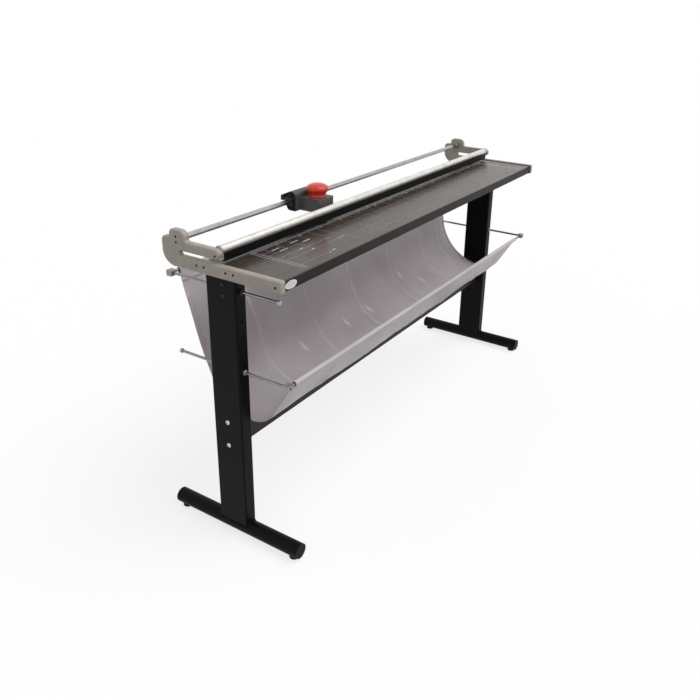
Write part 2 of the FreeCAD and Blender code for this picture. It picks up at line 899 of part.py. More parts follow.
strip_body = prism_along_x(
    "strip",
    [
        (centre - size.strip_front, strip_low),
        (centre + size.strip_rear, strip_low),
        (centre + size.strip_rear, strip_low + size.strip_edge),
        (centre + shoulder, clamp_height - under_circle(saddle, shoulder)),
        ("arc", saddle, -1),
        (centre + neck, clamp_height - under_circle(saddle, neck)),
        (centre + neck, tee_low),
        (centre + tee, tee_low),
        (centre + tee, tee_low + size.strip_tee_height),
        (centre - tee, tee_low + size.strip_tee_height),
        (centre - tee, tee_low),
        (centre - neck, tee_low),
        (centre - neck, clamp_height - under_circle(saddle, neck)),
        ("arc", saddle, -1),
        (centre - shoulder, clamp_height - under_circle(saddle, shoulder)),
        (centre - size.strip_front, strip_low + size.strip_edge),
    ],
    -strip_half,
    strip_half * 2,
)
keep("clamp_strip", strip_body)


# The clamp springs stay hidden in the bores of the caps, so each is a plain sleeve

def spring(name, x, y, low, high):
    """The room that a coil spring takes up, as a sleeve one wire thick."""
    outside = small_rod(name + "_outside", size.clamp_spring_outside, high - low, x, y, low, "+Z")
    inside = small_rod(name + "_inside", size.clamp_spring_outside - size.clamp_spring_wire * 2,
                       high - low + FLUSH_CUT * 2, x, y, low - FLUSH_CUT, "+Z")
    return cut(name, outside, [inside])


left_spring = spring("left_spring", spring_x, size.clamp_setback, size.table_height, spring_top)
keep("clamp_springs", both_sides("clamp_spring_set", [left_spring]))


# Cutter head: the moulded carriage, drawn about its own middle and placed at its rest position

carriage_half = size.carriage_length / 2
carriage_low = size.table_height + size.carriage_bottom
crown = size.table_height + size.carriage_top
hook_low = size.table_height + size.hook_bottom
hook_high = size.table_height + size.hook_top
seat_low = size.table_height + size.bush_seat_bottom
seat_high = size.table_height + size.bush_seat_top
hook_inside = size.carriage_rear - size.hook_wall
box_half = size.blade_diameter / 2 + size.blade_side_room
box_roof = head_axis + size.blade_diameter / 2 + size.blade_top_room
box_top = box_roof + size.head_roof


def shift_sketch(body, distance):
    """Move the body's last sketch along its own normal."""
    bind(body.Group[-1], "AttachmentOffset.Base.z", distance)


def pocket(body, name, length, upward=False):
    """Cut the body's last sketch in by a length; upward cuts along the sketch's normal."""
    sketch = body.Group[-1]
    before = body.Tip.Shape.Volume
    feature = body.newObject("PartDesign::Pocket", name)
    feature.Profile = sketch
    bind(feature, "Length", length)
    feature.Reversed = upward
    doc.recompute()
    if feature.Shape.Volume >= before:
        raise RuntimeError("%s cuts nothing" % name)
    return feature


housing = body_with_sketch("housing_barrel", "YZ_Plane", [[
    (size.carriage_front, carriage_low),
    (size.carriage_heel, carriage_low),
    (size.carriage_heel, seat_low),
    (size.bush_seat_front, seat_low),
    (size.bush_seat_front, seat_high),
    (hook_inside, seat_high),
    (hook_inside, hook_low),
    (size.carriage_rear, hook_low),
    (size.carriage_rear, hook_high),
    (size.carriage_crown, crown),
    (size.carriage_front, crown),
]])
shift_sketch(housing, -carriage_half)
pad(housing, "housing_barrel", size.carriage_length)
for number, (y, z, radius) in enumerate([
    (size.carriage_heel, carriage_low, size.barrel_heel_radius),
    (size.carriage_rear, hook_high, size.hook_radius),
    (size.carriage_rear, hook_low, size.small_round),
    (size.carriage_crown, crown, size.crown_radius),
    (size.carriage_front, crown, size.barrel_radius),
]):
    round_edges(housing, "housing_round_%d" % number, radius, lengthwise_at(y, z))


def rectangle(x_half, front, rear):
    """The outline of a rectangle in plan, centred on the middle of its body."""
    return [(-x_half, front), (x_half, front), (x_half, rear), (-x_half, rear)]


# The front box, joined to the barrel with a sweep of plastic on each side

add_sketch(housing, "housing_box", "XY_Plane",
           [rectangle(box_half, size.head_front, size.carriage_front + size.box_root)])
shift_sketch(housing, carriage_low)
pad(housing, "housing_box", box_top - carriage_low)
for side in (-1, 1):
    label = "left" if side < 0 else "right"
    round_edges(housing, "box_corner_" + label, size.head_corner,
                upright_at(box_half * side, size.head_front))
    round_edges(housing, "box_root_" + label, size.box_root_radius,
                upright_at(box_half * side, size.carriage_front))

# The room for the blade below the box's roof, with four screw posts and the axle's boss left in it

cavity_half = box_half - size.moulding_wall
cavity_front = size.head_front + size.moulding_wall
add_sketch(housing, "blade_room", "XY_Plane",
           [rectangle(cavity_half, cavity_front, size.carriage_front)])
shift_sketch(housing, carriage_low)
pocket(housing, "blade_room", box_roof - carriage_low, upward=True)
post_x = box_half - size.head_post_inset
post_front = size.head_front + size.head_post_inset
post_rear = size.carriage_front - size.head_post_inset
post_places = [(post_x * side, y) for side in (-1, 1) for y in (post_front, post_rear)]
add_sketch(housing, "screw_posts", "XY_Plane",
           [small_ring(x, y, size.head_post / 2) for x, y in post_places])
shift_sketch(housing, carriage_low)
pad(housing, "screw_posts", box_roof - carriage_low + size.boss_bite)
add_sketch(housing, "axle_boss", "XZ_Plane",
           [small_ring(0, head_axis, size.boss_diameter / 2)])
shift_sketch(housing, -size.boss_front)
pad(housing, "axle_boss", size.carriage_front - size.boss_front + size.boss_bite, reverse=True)
add_sketch(housing, "axle_hole", "XZ_Plane",
           [small_ring(0, head_axis, (size.axle_diameter + size.fit_gap) / 2)])
shift_sketch(housing, -size.boss_front)
pocket(housing, "axle_hole", size.axle_hold + size.screw_short)
add_sketch(housing, "post_holes", "XY_Plane",
           [small_ring(x, y, (size.head_screw + size.fit_gap) / 2) for x, y in post_places])
shift_sketch(housing, carriage_low)
pocket(housing, "post_holes", size.head_screw_hold + size.screw_short, upward=True)
knob_y = (size.head_front + size.carriage_front) / 2
add_sketch(housing, "stud_hole", "XY_Plane",
           [small_ring(0, knob_y, (size.stud_diameter + size.fit_gap) / 2)])
shift_sketch(housing, box_top)
pocket(housing, "stud_hole", size.head_roof + size.boss_bite)

# The ribbed ends: cells cut into each end face, with thin ribs left between them

wall = size.moulding_wall
half_rib = size.rib_thickness / 2
inner_front = size.carriage_front + wall
heel_inner = size.carriage_heel - wall
column_rear = size.bush_seat_front - wall
roof_low = seat_high + wall
roof_high = crown - wall
slope_rear = size.carriage_rear - wall * 2
rib_y = (inner_front + heel_inner) / 2
roof_rib_y = size.bush_seat_front + wall * 2
add_sketch(housing, "end_cells", "YZ_Plane", [
    [
        (inner_front, carriage_low + wall),
        (rib_y - half_rib, carriage_low + wall),
        (rib_y - half_rib, seat_low - wall),
        (inner_front, seat_low - wall),
    ],
    [
        (rib_y + half_rib, carriage_low + wall),
        (heel_inner - wall * 2, carriage_low + wall),
        (heel_inner, carriage_low + wall * 3),
        (heel_inner, seat_low - wall),
        (rib_y + half_rib, seat_low - wall),
    ],
    [
        (inner_front, seat_low - wall + size.rib_thickness),
        (column_rear, seat_low - wall + size.rib_thickness),
        (column_rear, rail_height - half_rib),
        (inner_front, rail_height - half_rib),
    ],
    [
        (inner_front, rail_height + half_rib),
        (column_rear, rail_height + half_rib),
        (column_rear, seat_high),
        (inner_front, seat_high),
    ],
    [
        (inner_front, seat_high + size.rib_thickness),
        (column_rear, roof_low),
        (roof_rib_y - half_rib, roof_low),
        (roof_rib_y - half_rib, roof_high),
        (inner_front + wall * 3, roof_high),
        (inner_front, roof_high - wall * 3),
    ],
    [
        (roof_rib_y + half_rib, roof_low),
        (slope_rear, roof_low),
        (slope_rear, hook_high - wall),
        (size.carriage_crown, roof_high - half_rib),
        (roof_rib_y + half_rib, roof_high - half_rib),
    ],
])
shift_sketch(housing, -carriage_half)
end_cells = pocket(housing, "end_cells", size.recess_depth, upward=True)
both_ends = housing.newObject("PartDesign::Mirrored", "both_ends")
both_ends.Originals = [end_cells]
middle_plane = [item for item in housing.Origin.OriginFeatures if item.Role == "YZ_Plane"][0]
both_ends.MirrorPlane = (middle_plane, [""])
housing.Tip = both_ends
bind(housing, "Placement.Base.x", size.head_rest)
keep("carriage_housing", housing)


# Base plate below the blade's room, with the slot that the blade turns in

base_plate_body = body_with_sketch("base_plate", "XY_Plane", [
    rectangle(box_half, size.head_front, size.carriage_front),
])
shift_sketch(base_plate_body, carriage_low - size.base_plate_sheet)
pad(base_plate_body, "base_plate", size.base_plate_sheet)
for side in (-1, 1):
    round_edges(base_plate_body, "base_corner_left" if side < 0 else "base_corner_right",
                size.head_corner, upright_at(box_half * side, size.head_front))
slot_half_length = size.blade_diameter / 2 + size.blade_slot_gap
add_sketch(base_plate_body, "blade_slot", "XY_Plane",
           [rectangle(slot_half_length, size.cut_line - size.blade_slot_gap, size.blade_slot_rear)])
shift_sketch(base_plate_body, carriage_low)
pocket(base_plate_body, "blade_slot", size.base_plate_sheet)
add_sketch(base_plate_body, "base_holes", "XY_Plane",
           [small_ring(x, y, (size.head_screw + size.fit_gap) / 2) for x, y in post_places])
shift_sketch(base_plate_body, carriage_low)
pocket(base_plate_body, "base_holes", size.base_plate_sheet)
bind(base_plate_body, "Placement.Base.x", size.head_rest)
keep("head_base_plate", base_plate_body)


# Rail bushes, one at each end of the carriage

def rail_bush(name, side):
    """The plastic bush that slides on the rail at one end of the carriage."""
    outer = size.head_rest + (carriage_half - size.bush_recess) * side
    inner = size.head_rest + (carriage_half - size.bush_recess - size.bush_length) * side
    low, high = (outer, inner) if side < 0 else (inner, outer)
    block = box(name + "_block", (low, high), (size.bush_seat_front, size.bush_rear),
                (seat_low, seat_high))
    bore = hexagon(name + "_bore", size.rail_width + size.slide_gap * 2,
                   size.bush_length + FLUSH_CUT * 2, low - FLUSH_CUT, size.rail_setback,
                   rail_height, "+X", FLAT_TOP_TURN)
    return cut(name + "_cut", block, [bore])


keep("left_rail_bush", rail_bush("left_bush", -1))
keep("right_rail_bush", rail_bush("right_bush", 1))


# Rotary blade on its hub, and the shoulder screw that it turns on

blade_front = size.cut_line + size.blade_gap
blade_radius = size.blade_diameter / 2
blade_disc = turned("blade_disc", [
    (0, 0),
    (blade_radius, 0),
    (blade_radius - size.blade_bevel, size.blade_thickness),
    (0, size.blade_thickness),
], size.head_rest, blade_front, head_axis, "+Y")
blade_bore = small_rod("blade_bore", size.hub_spigot + size.running_gap * 2,
                       size.blade_thickness + FLUSH_CUT * 2, size.head_rest,
                       blade_front - FLUSH_CUT, head_axis, "+Y")
keep("rotary_blade", cut("blade_cut", blade_disc, [blade_bore]))
hub_front = blade_front + size.blade_thickness
hub_rear = size.boss_front - size.blade_gap
hub_blank = fuse("hub_blank", [
    small_rod("hub_spigot", size.hub_spigot, hub_rear - blade_front, size.head_rest, blade_front,
              head_axis, "+Y"),
    small_rod("hub_flange", size.hub_flange, size.hub_flange_depth, size.head_rest, hub_front,
              head_axis, "+Y"),
])
hub_bore = rod("hub_bore", size.axle_diameter + size.slide_gap * 2,
               hub_rear - blade_front + FLUSH_CUT * 2, size.head_rest, blade_front - FLUSH_CUT,
               head_axis, "+Y")
keep("blade_hub", cut("hub_cut", hub_blank, [hub_bore]))
axle_run = size.boss_front - size.cut_line
keep("blade_axle", fuse("axle_screw", [
    rod("axle_shoulder", size.axle_diameter, axle_run, size.head_rest, size.cut_line, head_axis,
        "+Y"),
    small_rod("axle_hold", size.axle_diameter * half_side_cosine(SMALL_ROUND_SIDES),
              size.axle_hold, size.head_rest, size.boss_front, head_axis, "+Y"),
    small_rod("axle_head", size.axle_head, size.axle_head_depth, size.head_rest,
              size.cut_line - size.axle_head_depth, head_axis, "+Y"),
]))


# Palm knob on its stud

knob_bodied = turned("knob_turned", [
    (0, 0),
    (size.knob_waist / 2, 0),
    (size.knob_waist / 2, size.knob_waist_height),
    (size.knob_width / 2, size.knob_rim_low),
    (size.knob_width / 2, size.knob_rim_high),
    (size.knob_crown / 2, size.knob_crown_height),
    (size.knob_flat / 2, size.knob_height),
    (0, size.knob_height),
], size.head_rest, knob_y, box_top, "+Z")
stud_bore = small_rod("stud_bore", size.stud_diameter + size.fit_gap, size.stud_reach
                      + size.screw_short + FLUSH_CUT, size.head_rest, knob_y,
                      box_top - FLUSH_CUT, "+Z")
keep("palm_knob", cut("knob_cut", knob_bodied, [stud_bore]))
keep("knob_stud", bolt("stud_screw", size.stud_diameter, size.stud_head,
                       size.stud_head_depth, size.head_roof + size.stud_reach,
                       size.head_rest, knob_y, box_roof, "+Z"))


# Leg columns: rectangular tube that stands astride the foot tube

leg_half_width = size.leg_width / 2
leg_half_depth = size.leg_depth / 2
leg_inner_width = leg_half_width - size.leg_wall
leg_inner_depth = leg_half_depth - size.leg_wall
leg_top = bar_bottom
leg_body = body_with_sketch("leg", "XY_Plane", [
    rectangle(leg_half_width, -leg_half_depth, leg_half_depth),
    rectangle(leg_inner_width, -leg_inner_depth, leg_inner_depth),
])
pad(leg_body, "leg", leg_top - size.foot_axis)
for number, (x, y) in enumerate([(-1, -1), (1, -1), (1, 1), (-1, 1)]):
    round_edges(leg_body, "leg_outer_corner_%d" % number, size.leg_corner,
                upright_at(leg_half_width * x, leg_half_depth * y))
    chamfer_edges(leg_body, "leg_inner_corner_%d" % number, size.leg_corner - size.leg_wall,
                  upright_at(leg_inner_width * x, leg_inner_depth * y))
place(leg_body, -leg_centre, 0, size.foot_axis)

leg_screw_top = leg_top - size.leg_screw_inset
leg_screw_levels = [leg_screw_top, leg_screw_top - size.leg_screw_pitch]
bolt_levels = [
    size.stretcher_centre - size.stretcher_bolt_spread / 2,
    size.stretcher_centre + size.stretcher_bolt_spread / 2,
]
upper_rod_height = size.table_height - size.upper_rod_drop
rod_levels = [upper_rod_height, size.lower_rod_height]
leg_tools = [rod("leg_saddle", size.foot_diameter + size.curve_gap, size.foot_length,
                 -leg_centre, -size.foot_length / 2, size.foot_axis, "+Y")]
for number, level in enumerate(leg_screw_levels):
    leg_tools.append(hexagon("leg_screw_hole_%d" % number, size.leg_screw + size.fit_gap,
                             size.leg_wall + FLUSH_CUT * 2, -leg_outside - FLUSH_CUT,
                             -size.leg_screw_offset, level, "+X"))
for number, level in enumerate(bolt_levels):
    leg_tools.append(hexagon("bolt_hole_%d" % number, size.stretcher_bolt + size.fit_gap,
                             size.leg_width + FLUSH_CUT * 2, -leg_outside - FLUSH_CUT, 0,
                             level, "+X"))
for number, level in enumerate(rod_levels):
    leg_tools.append(small_rod("rod_hole_%d" % number, size.rod_diameter + size.fit_gap,
                               size.leg_depth + FLUSH_CUT * 2, -leg_centre,
                               -leg_half_depth - FLUSH_CUT, level, "+Y"))
leg_tools.append(small_rod("spare_hole", size.spare_hole, size.leg_wall + FLUSH_CUT * 2,
                           -leg_centre, -leg_half_depth - FLUSH_CUT,
                           size.table_height - size.spare_hole_drop, "+Y"))
left_leg = cut("left_leg_cut", leg_body, leg_tools)
keep("left_leg_column", left_leg)
keep("right_leg_column", mirrored("right_leg_copy", left_leg))


# Leg brackets: a flange bolted to the end plate, a shelf in the leg's mouth and a screwed tongue

bracket_half = size.bracket_length / 2
shelf_half = leg_inner_depth - size.leg_corner
tongue_half = size.tongue_width / 2
tongue_outside = -leg_outside + size.leg_wall
bracket_blank = fuse("bracket_blank", [
    box("bracket_flange", (-half_length, -half_length + size.bracket_sheet),
        (size.bracket_centre - bracket_half, size.bracket_centre + bracket_half),
        (leg_top, tray_underside)),
    box("bracket_shelf", (tongue_outside, -leg_inside - size.leg_wall), (-shelf_half, shelf_half),
        (leg_top - size.bracket_sheet, leg_top)),
    box("bracket_tongue", (tongue_outside, tongue_outside + size.bracket_sheet),
        (-tongue_half, tongue_half), (leg_top - size.tongue_length, leg_top)),
])
bracket_tools = []
for number, (y, z) in enumerate(plate_screw_places):
    bracket_tools.append(hexagon("bracket_hole_%d" % number, size.plate_screw + size.fit_gap,
                                 size.bracket_sheet + FLUSH_CUT * 2, -half_length - FLUSH_CUT,
                                 y, z, "+X"))
for number, level in enumerate(leg_screw_levels):
    bracket_tools.append(hexagon("tongue_hole_%d" % number, size.leg_screw + size.fit_gap,
                                 size.bracket_sheet + FLUSH_CUT * 2, tongue_outside - FLUSH_CUT,
                                 -size.leg_screw_offset, level, "+X"))
left_bracket = cut("left_bracket_cut", bracket_blank, bracket_tools)
keep("left_leg_bracket", left_bracket)
keep("right_leg_bracket", mirrored("right_bracket_copy", left_bracket))
keep("leg_screws", both_sides("leg_screw_set", [
    bolt("leg_screw_%d" % number, size.leg_screw, size.leg_screw_head,
         size.leg_screw_head_depth, size.leg_wall + size.bracket_sheet, -leg_outside,
         -size.leg_screw_offset, level, "+X")
    for number, level in enumerate(leg_screw_levels)
]))


# Foot tubes with a cap in each end, on rubber feet that fit the tube's curve

foot_cap_depth = size.foot_cap_flange
foot_tube_half = size.foot_length / 2 - foot_cap_depth
foot_bore = size.foot_diameter - size.foot_wall * 2
left_foot = cut("left_foot_cut", rod("foot_bar", size.foot_diameter, foot_tube_half * 2,
                                     -leg_centre, -foot_tube_half, size.foot_axis, "+Y"),
                [small_rod("foot_bore", foot_bore, foot_tube_half * 2 + FLUSH_CUT * 2,
                           -leg_centre, -foot_tube_half - FLUSH_CUT, size.foot_axis, "+Y")])
keep("left_foot_tube", left_foot)
keep("right_foot_tube", mirrored("right_foot_copy", left_foot))


def foot_cap(name, end):
    """A round cap that closes one end of the left foot tube."""
    direction = "-Y" if end > 0 else "+Y"
    end_y = size.foot_length / 2 * end
    return fuse(name, [
        rod(name + "_flange", size.foot_diameter, foot_cap_depth, -leg_centre, end_y,
            size.foot_axis, direction),
        small_rod(name + "_plug", foot_bore - size.curve_gap, foot_cap_depth
                  + size.foot_cap_plug, -leg_centre, end_y, size.foot_axis, direction),
    ])


keep("foot_end_caps", both_sides("foot_cap_set", [
    foot_cap("front_foot_cap", -1),
    foot_cap("rear_foot_cap", 1),
]))


def rubber_foot(name, end):
    """A round foot below the left foot tube, hollowed to the tube's curve."""
    y = (size.foot_length / 2 - size.rubber_foot_inset) * end
    pad_blank = small_rod(name + "_blank", size.rubber_foot, size.foot_axis - size.foot_wall,
                          -leg_centre, y, 0, "+Z")
    tube = rod(name + "_tube", size.foot_diameter + size.curve_gap, size.foot_length,
               -leg_centre, -size.foot_length / 2, size.foot_axis, "+Y")
    above = box(name + "_above", (-leg_outside, -leg_inside),
                (-size.foot_length / 2, size.foot_length / 2),
                (size.foot_axis - size.foot_diameter / 2 + size.rubber_foot_wrap,
                 size.foot_axis + size.foot_diameter))
    return cut(name, pad_blank, [fuse(name + "_away", [tube, above])])


keep("rubber_feet", both_sides("rubber_foot_set", [
    rubber_foot("front_rubber_foot", -1),
    rubber_foot("rear_rubber_foot", 1),
]))


# Stretcher: a folded channel, open to the rear, with a bolted plate at each end

stretcher_top = size.stretcher_bottom + size.stretcher_height
channel_front = -size.stretcher_depth / 2
channel_rear = size.stretcher_depth / 2
channel_half = leg_inside - size.stretcher_end_plate
channel = prism_along_x("channel", [
    (channel_front, size.stretcher_bottom),
    (channel_rear, size.stretcher_bottom),
    (channel_rear, size.stretcher_bottom + size.stretcher_wall),
    (channel_front + size.stretcher_wall, size.stretcher_bottom + size.stretcher_wall),
    (channel_front + size.stretcher_wall, stretcher_top - size.stretcher_wall),
    (channel_rear, stretcher_top - size.stretcher_wall),
    (channel_rear, stretcher_top),
    (channel_front, stretcher_top),
], -channel_half, channel_half * 2, rounds=[
    (channel_front, size.stretcher_bottom, size.tray_bend),
    (channel_front, stretcher_top, size.tray_bend),
])
bolt_plate = box("bolt_plate", (-leg_inside, -channel_half),
                 (-size.bolt_plate_width / 2, size.bolt_plate_width / 2),
                 (size.stretcher_bottom, size.stretcher_bottom + size.bolt_plate_height))
bolt_plate_holes = [
    hexagon("bolt_plate_hole_%d" % number, size.stretcher_bolt + size.fit_gap,
            size.stretcher_end_plate + FLUSH_CUT * 2, -leg_inside - FLUSH_CUT, 0, level, "+X")
    for number, level in enumerate(bolt_levels)
]
left_bolt_plate = cut("left_bolt_plate", bolt_plate, bolt_plate_holes)
keep("stretcher", fuse("stretcher_blank", [
    channel, left_bolt_plate, mirrored("right_bolt_plate", left_bolt_plate),
]))
bolt_run = size.leg_width + size.stretcher_end_plate
keep("stretcher_bolts", both_sides("stretcher_bolt_set", [
    bolt("stretcher_bolt_%d" % number, size.stretcher_bolt, size.stretcher_bolt_head,
         size.stretcher_bolt_head_depth, bolt_run, -leg_outside, 0, level, "+X")
    for number, level in enumerate(bolt_levels)
]))


# Catcher frame: two cross rods through each leg, joined at their far ends by the long rods

rod_stop = size.rod_diameter / 2 + size.screw_short
rod_width = size.rod_diameter * half_side_cosine(SMALL_ROUND_SIDES)
upper_front = -size.upper_rod_front
upper_front_right = -size.upper_rod_front_right
upper_rear = size.upper_rod_rear - rod_stop
lower_front = -size.lower_rod_front + rod_stop
lower_rear = size.lower_rod_rear


def cross_rod(name, x, front, rear, level):
    """A rod through a leg."""
    keep(name, small_rod(name + "_bar", rod_width, rear - front, x, front, level, "+Y"))


cross_rod("left_upper_cross_rod", -leg_centre, upper_front, upper_rear, upper_rod_height)
cross_rod("right_upper_cross_rod", leg_centre, upper_front_right, upper_rear, upper_rod_height)
cross_rod("left_lower_cross_rod", -leg_centre, lower_front, lower_rear, size.lower_rod_height)
cross_rod("right_lower_cross_rod", leg_centre, lower_front, lower_rear, size.lower_rod_height)
long_half = leg_centre + size.long_rod_hold
keep("rear_sheet_rod", small_rod("rear_long_rod", rod_width, long_half * 2, -long_half,
                                 size.upper_rod_rear, upper_rod_height, "+X"))
keep("front_sheet_rod", small_rod("front_long_rod", rod_width, long_half * 2, -long_half,
                                  -size.lower_rod_front, size.lower_rod_height, "+X"))

block_half_width = size.corner_block_width / 2
block_half_depth = size.corner_block_depth / 2
block_half_height = size.corner_block_height / 2
rod_hole = size.rod_diameter + size.curve_gap


def corner_block(name, y, z, inward):
    """The block that joins a cross rod and a long rod; inward is the way to the leg along Y."""
    toward_leg, away = ("+Y", "-Y") if inward > 0 else ("-Y", "+Y")
    block = box(name + "_block", (-leg_centre - block_half_width, -leg_centre + block_half_width),
                (y - block_half_depth, y + block_half_depth),
                (z - block_half_height, z + block_half_height))
    long_hole = small_rod(name + "_long_hole", rod_hole, size.corner_block_width,
                          -long_half - size.screw_short, y, z, "+X")
    cross_hole = small_rod(name + "_cross_hole", rod_hole, size.corner_block_depth, -leg_centre,
                           y, z, toward_leg)
    grub_hole = small_rod(name + "_grub_hole", size.grub_screw, size.corner_block_depth,
                          -leg_centre, y, z, away)
    return cut(name, block, [long_hole, cross_hole, grub_hole])


keep("corner_blocks", both_sides("corner_block_set", [
    corner_block("rear_corner_block", size.upper_rod_rear, upper_rod_height, -1),
    corner_block("front_corner_block", -size.lower_rod_front, size.lower_rod_height, 1),
]))


def rod_cap(name, x, y, z, outward):
    """A round cap on the free end of a cross rod."""
    return small_rod(name, size.rod_cap, size.rod_cap_length, x, y, z, outward)


keep("rod_end_caps", group("rod_cap_set", [
    rod_cap("left_upper_rod_cap", -leg_centre, upper_front, upper_rod_height, "-Y"),
    rod_cap("right_upper_rod_cap", leg_centre, upper_front_right, upper_rod_height, "-Y"),
    rod_cap("left_lower_rod_cap", -leg_centre, lower_rear, size.lower_rod_height, "+Y"),
    rod_cap("right_lower_rod_cap", leg_centre, lower_rear, size.lower_rod_height, "+Y"),
]))


# Catcher cloth: it hangs from hems on the two long rods in a curve of two arcs and two flats

def tangent_angle(point, centre, radius, side):
    """The angle at which a line from a point touches a circle."""
    away = point - centre
    return math.atan2(away.y, away.x) + side * math.acos(radius / away.Length)


def at_angle(centre, radius, angle):
    """The point of a circle at an angle."""
    return centre + Vector(math.cos(angle), math.sin(angle), 0) * radius


def hanging_side(rod_axis, bottom, radius, inset, side):
    """Where one side of the cloth leaves its hem, touches its arc and passes the arc's middle."""
    centre = Vector(bottom.x, bottom.y + radius, 0)
    touch = tangent_angle(rod_axis, centre, radius, side)
    lowest = -math.pi / 2
    middle = (math.remainder(touch - lowest, math.tau)) / 2 + lowest
    tangent = at_angle(centre, radius, touch)
    toward_rod = (rod_axis - tangent).normalize()
    sideways = (centre - tangent).normalize()
    hem_end = rod_axis - toward_rod * (size.hem_inside.value / 2 + size.hem_bite.value)
    return [
        hem_end + sideways * inset,
        tangent + sideways * inset,
        at_angle(centre, radius - inset, middle),
        Vector(bottom.x, bottom.y + inset, 0),
    ]


def cloth_section(share, lift):
    """The closed section of the cloth at a share of the way from left to right."""
    def between(left, right):
        return left + (right - left) * share

    x = (share - 0.5) * size.cloth_width.value
    bottom = Vector(-size.cloth_bottom_front.value,
                    between(size.cloth_bottom.value, size.cloth_bottom_right.value) + lift, 0)
    rear_axis = Vector(size.upper_rod_rear.value, upper_rod_height.value, 0)
    front_axis = Vector(-size.lower_rod_front.value, size.lower_rod_height.value, 0)
    rear_radius = between(size.cloth_rear_radius.value, size.cloth_rear_radius_right.value)
    front_radius = size.cloth_front_radius.value
    loops = []
    for inset in (0.0, size.cloth_thickness.value):
        rear = hanging_side(rear_axis, bottom, rear_radius, inset, -1)
        front = hanging_side(front_axis, bottom, front_radius, inset, 1)
        loops.append([Vector(x, p.x, p.y) for p in rear + front[2::-1]])
    outer, inner = loops
    edges = []
    for points, forward in ((outer, True), (inner, False)):
        a, b, c, d, e, f, g = points
        run = [
            Part.LineSegment(a, b), Part.Arc(b, c, d), Part.Arc(d, e, f), Part.LineSegment(f, g),
        ]
        back = [
            Part.LineSegment(g, f), Part.Arc(f, e, d), Part.Arc(d, c, b), Part.LineSegment(b, a),
        ]
        edges.append([curve.toShape() for curve in (run if forward else back)])
    front_end = Part.LineSegment(outer[-1], inner[-1]).toShape()
    rear_end = Part.LineSegment(inner[0], outer[0]).toShape()
    return Part.Wire(edges[0] + [front_end] + edges[1] + [rear_end])


stations = int(size.cloth_stations.value)
sections = [
    cloth_section(i / (stations - 1), size.cloth_fold.value if i % 2 else 0.0)
    for i in range(stations)
]
cloth_panel = doc.addObject("Part::Feature", "cloth_panel")
cloth_panel.Shape = Part.makeLoft(sections, True, True)
cloth_half = size.cloth_width / 2
hem_parts = [cloth_panel]
hem_bores = []
for label, y, z in (("rear", size.upper_rod_rear, upper_rod_height),
                    ("front", -size.lower_rod_front, size.lower_rod_height)):
    hem_parts.append(small_rod(label + "_hem", size.hem_outside, size.cloth_width, -cloth_half,
                               y, z, "+X"))
    hem_bores.append(small_rod(label + "_hem_bore", size.hem_inside,
                               size.cloth_width + FLUSH_CUT * 2, -cloth_half - FLUSH_CUT, y, z,
                               "+X"))
keep("catcher_sheet", cut("cloth_cut", fuse("cloth_blank", hem_parts), hem_bores))


# Check every object, then write one file for each sub-part

doc.recompute()
for obj in doc.Objects:
    if "Invalid" in obj.State or "Error" in obj.State:
        raise RuntimeError("%s did not build: %s" % (obj.Label, obj.State))
os.makedirs("parts", exist_ok=True)
for part in parts:
    if part.Shape.isNull() or not part.Shape.isValid():
        raise RuntimeError("%s has no sound shape" % part.Label)
    part.Shape.exportStep("parts/%s.step" % part.Label)
    print("%s: %d solids, %.0f mm3" % (part.Label, len(part.Shape.Solids), part.Shape.Volume))
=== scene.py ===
# %% [markdown]
# # A floor-standing rotary paper trimmer
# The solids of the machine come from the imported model, which Blender keeps as a fixed frame. This
# lesson gives them their finishes, hangs the catcher's cloth and adds the small things that a
# drawing leaves out. Everything is in metres, in the frame of the model: X runs along the cut, the
# operator stands on the -Y side, and Z is up from the floor.

import json
import math

import bmesh
import bpy
from mathutils import Matrix, Vector, noise


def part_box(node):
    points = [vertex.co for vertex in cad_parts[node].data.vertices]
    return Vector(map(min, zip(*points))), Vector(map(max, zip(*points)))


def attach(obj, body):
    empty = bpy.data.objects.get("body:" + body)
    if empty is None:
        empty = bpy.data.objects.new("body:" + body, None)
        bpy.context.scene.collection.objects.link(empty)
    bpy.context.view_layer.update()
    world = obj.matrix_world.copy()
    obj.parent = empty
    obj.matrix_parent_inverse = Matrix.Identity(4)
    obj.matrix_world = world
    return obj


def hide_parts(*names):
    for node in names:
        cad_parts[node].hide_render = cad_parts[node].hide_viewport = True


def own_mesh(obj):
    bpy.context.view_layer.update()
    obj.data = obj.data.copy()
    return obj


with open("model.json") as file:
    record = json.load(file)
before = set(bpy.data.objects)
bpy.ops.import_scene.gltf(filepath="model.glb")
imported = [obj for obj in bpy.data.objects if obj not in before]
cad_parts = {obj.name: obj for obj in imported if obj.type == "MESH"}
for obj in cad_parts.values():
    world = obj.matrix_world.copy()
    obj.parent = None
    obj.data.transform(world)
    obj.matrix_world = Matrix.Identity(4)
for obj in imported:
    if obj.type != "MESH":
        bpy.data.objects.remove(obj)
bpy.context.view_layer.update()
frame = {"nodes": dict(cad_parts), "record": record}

# %% [markdown]
# ## The camera
# The photograph was taken from the left end, a little above the table, with the machine running
# away to the right. Its place, turn and lens were worked out from the straight edges of the
# machine, so they are plain numbers here. The picture is a square of 700 by 700, cut off-centre
# from a wider one, which the two shift values put back.

# %% Camera
CAMERA_PLACE = Vector((-2.0592, -1.2197, 1.4478))
CAMERA_YAW = 1.00984
CAMERA_PITCH = 0.38071
CAMERA_ROLL = -0.020886
CAMERA_LENS = 37.81
CAMERA_SHIFT = (-0.0223, -0.0848)
SENSOR_WIDTH = 36.0
CAMERA_FAR = 50.0


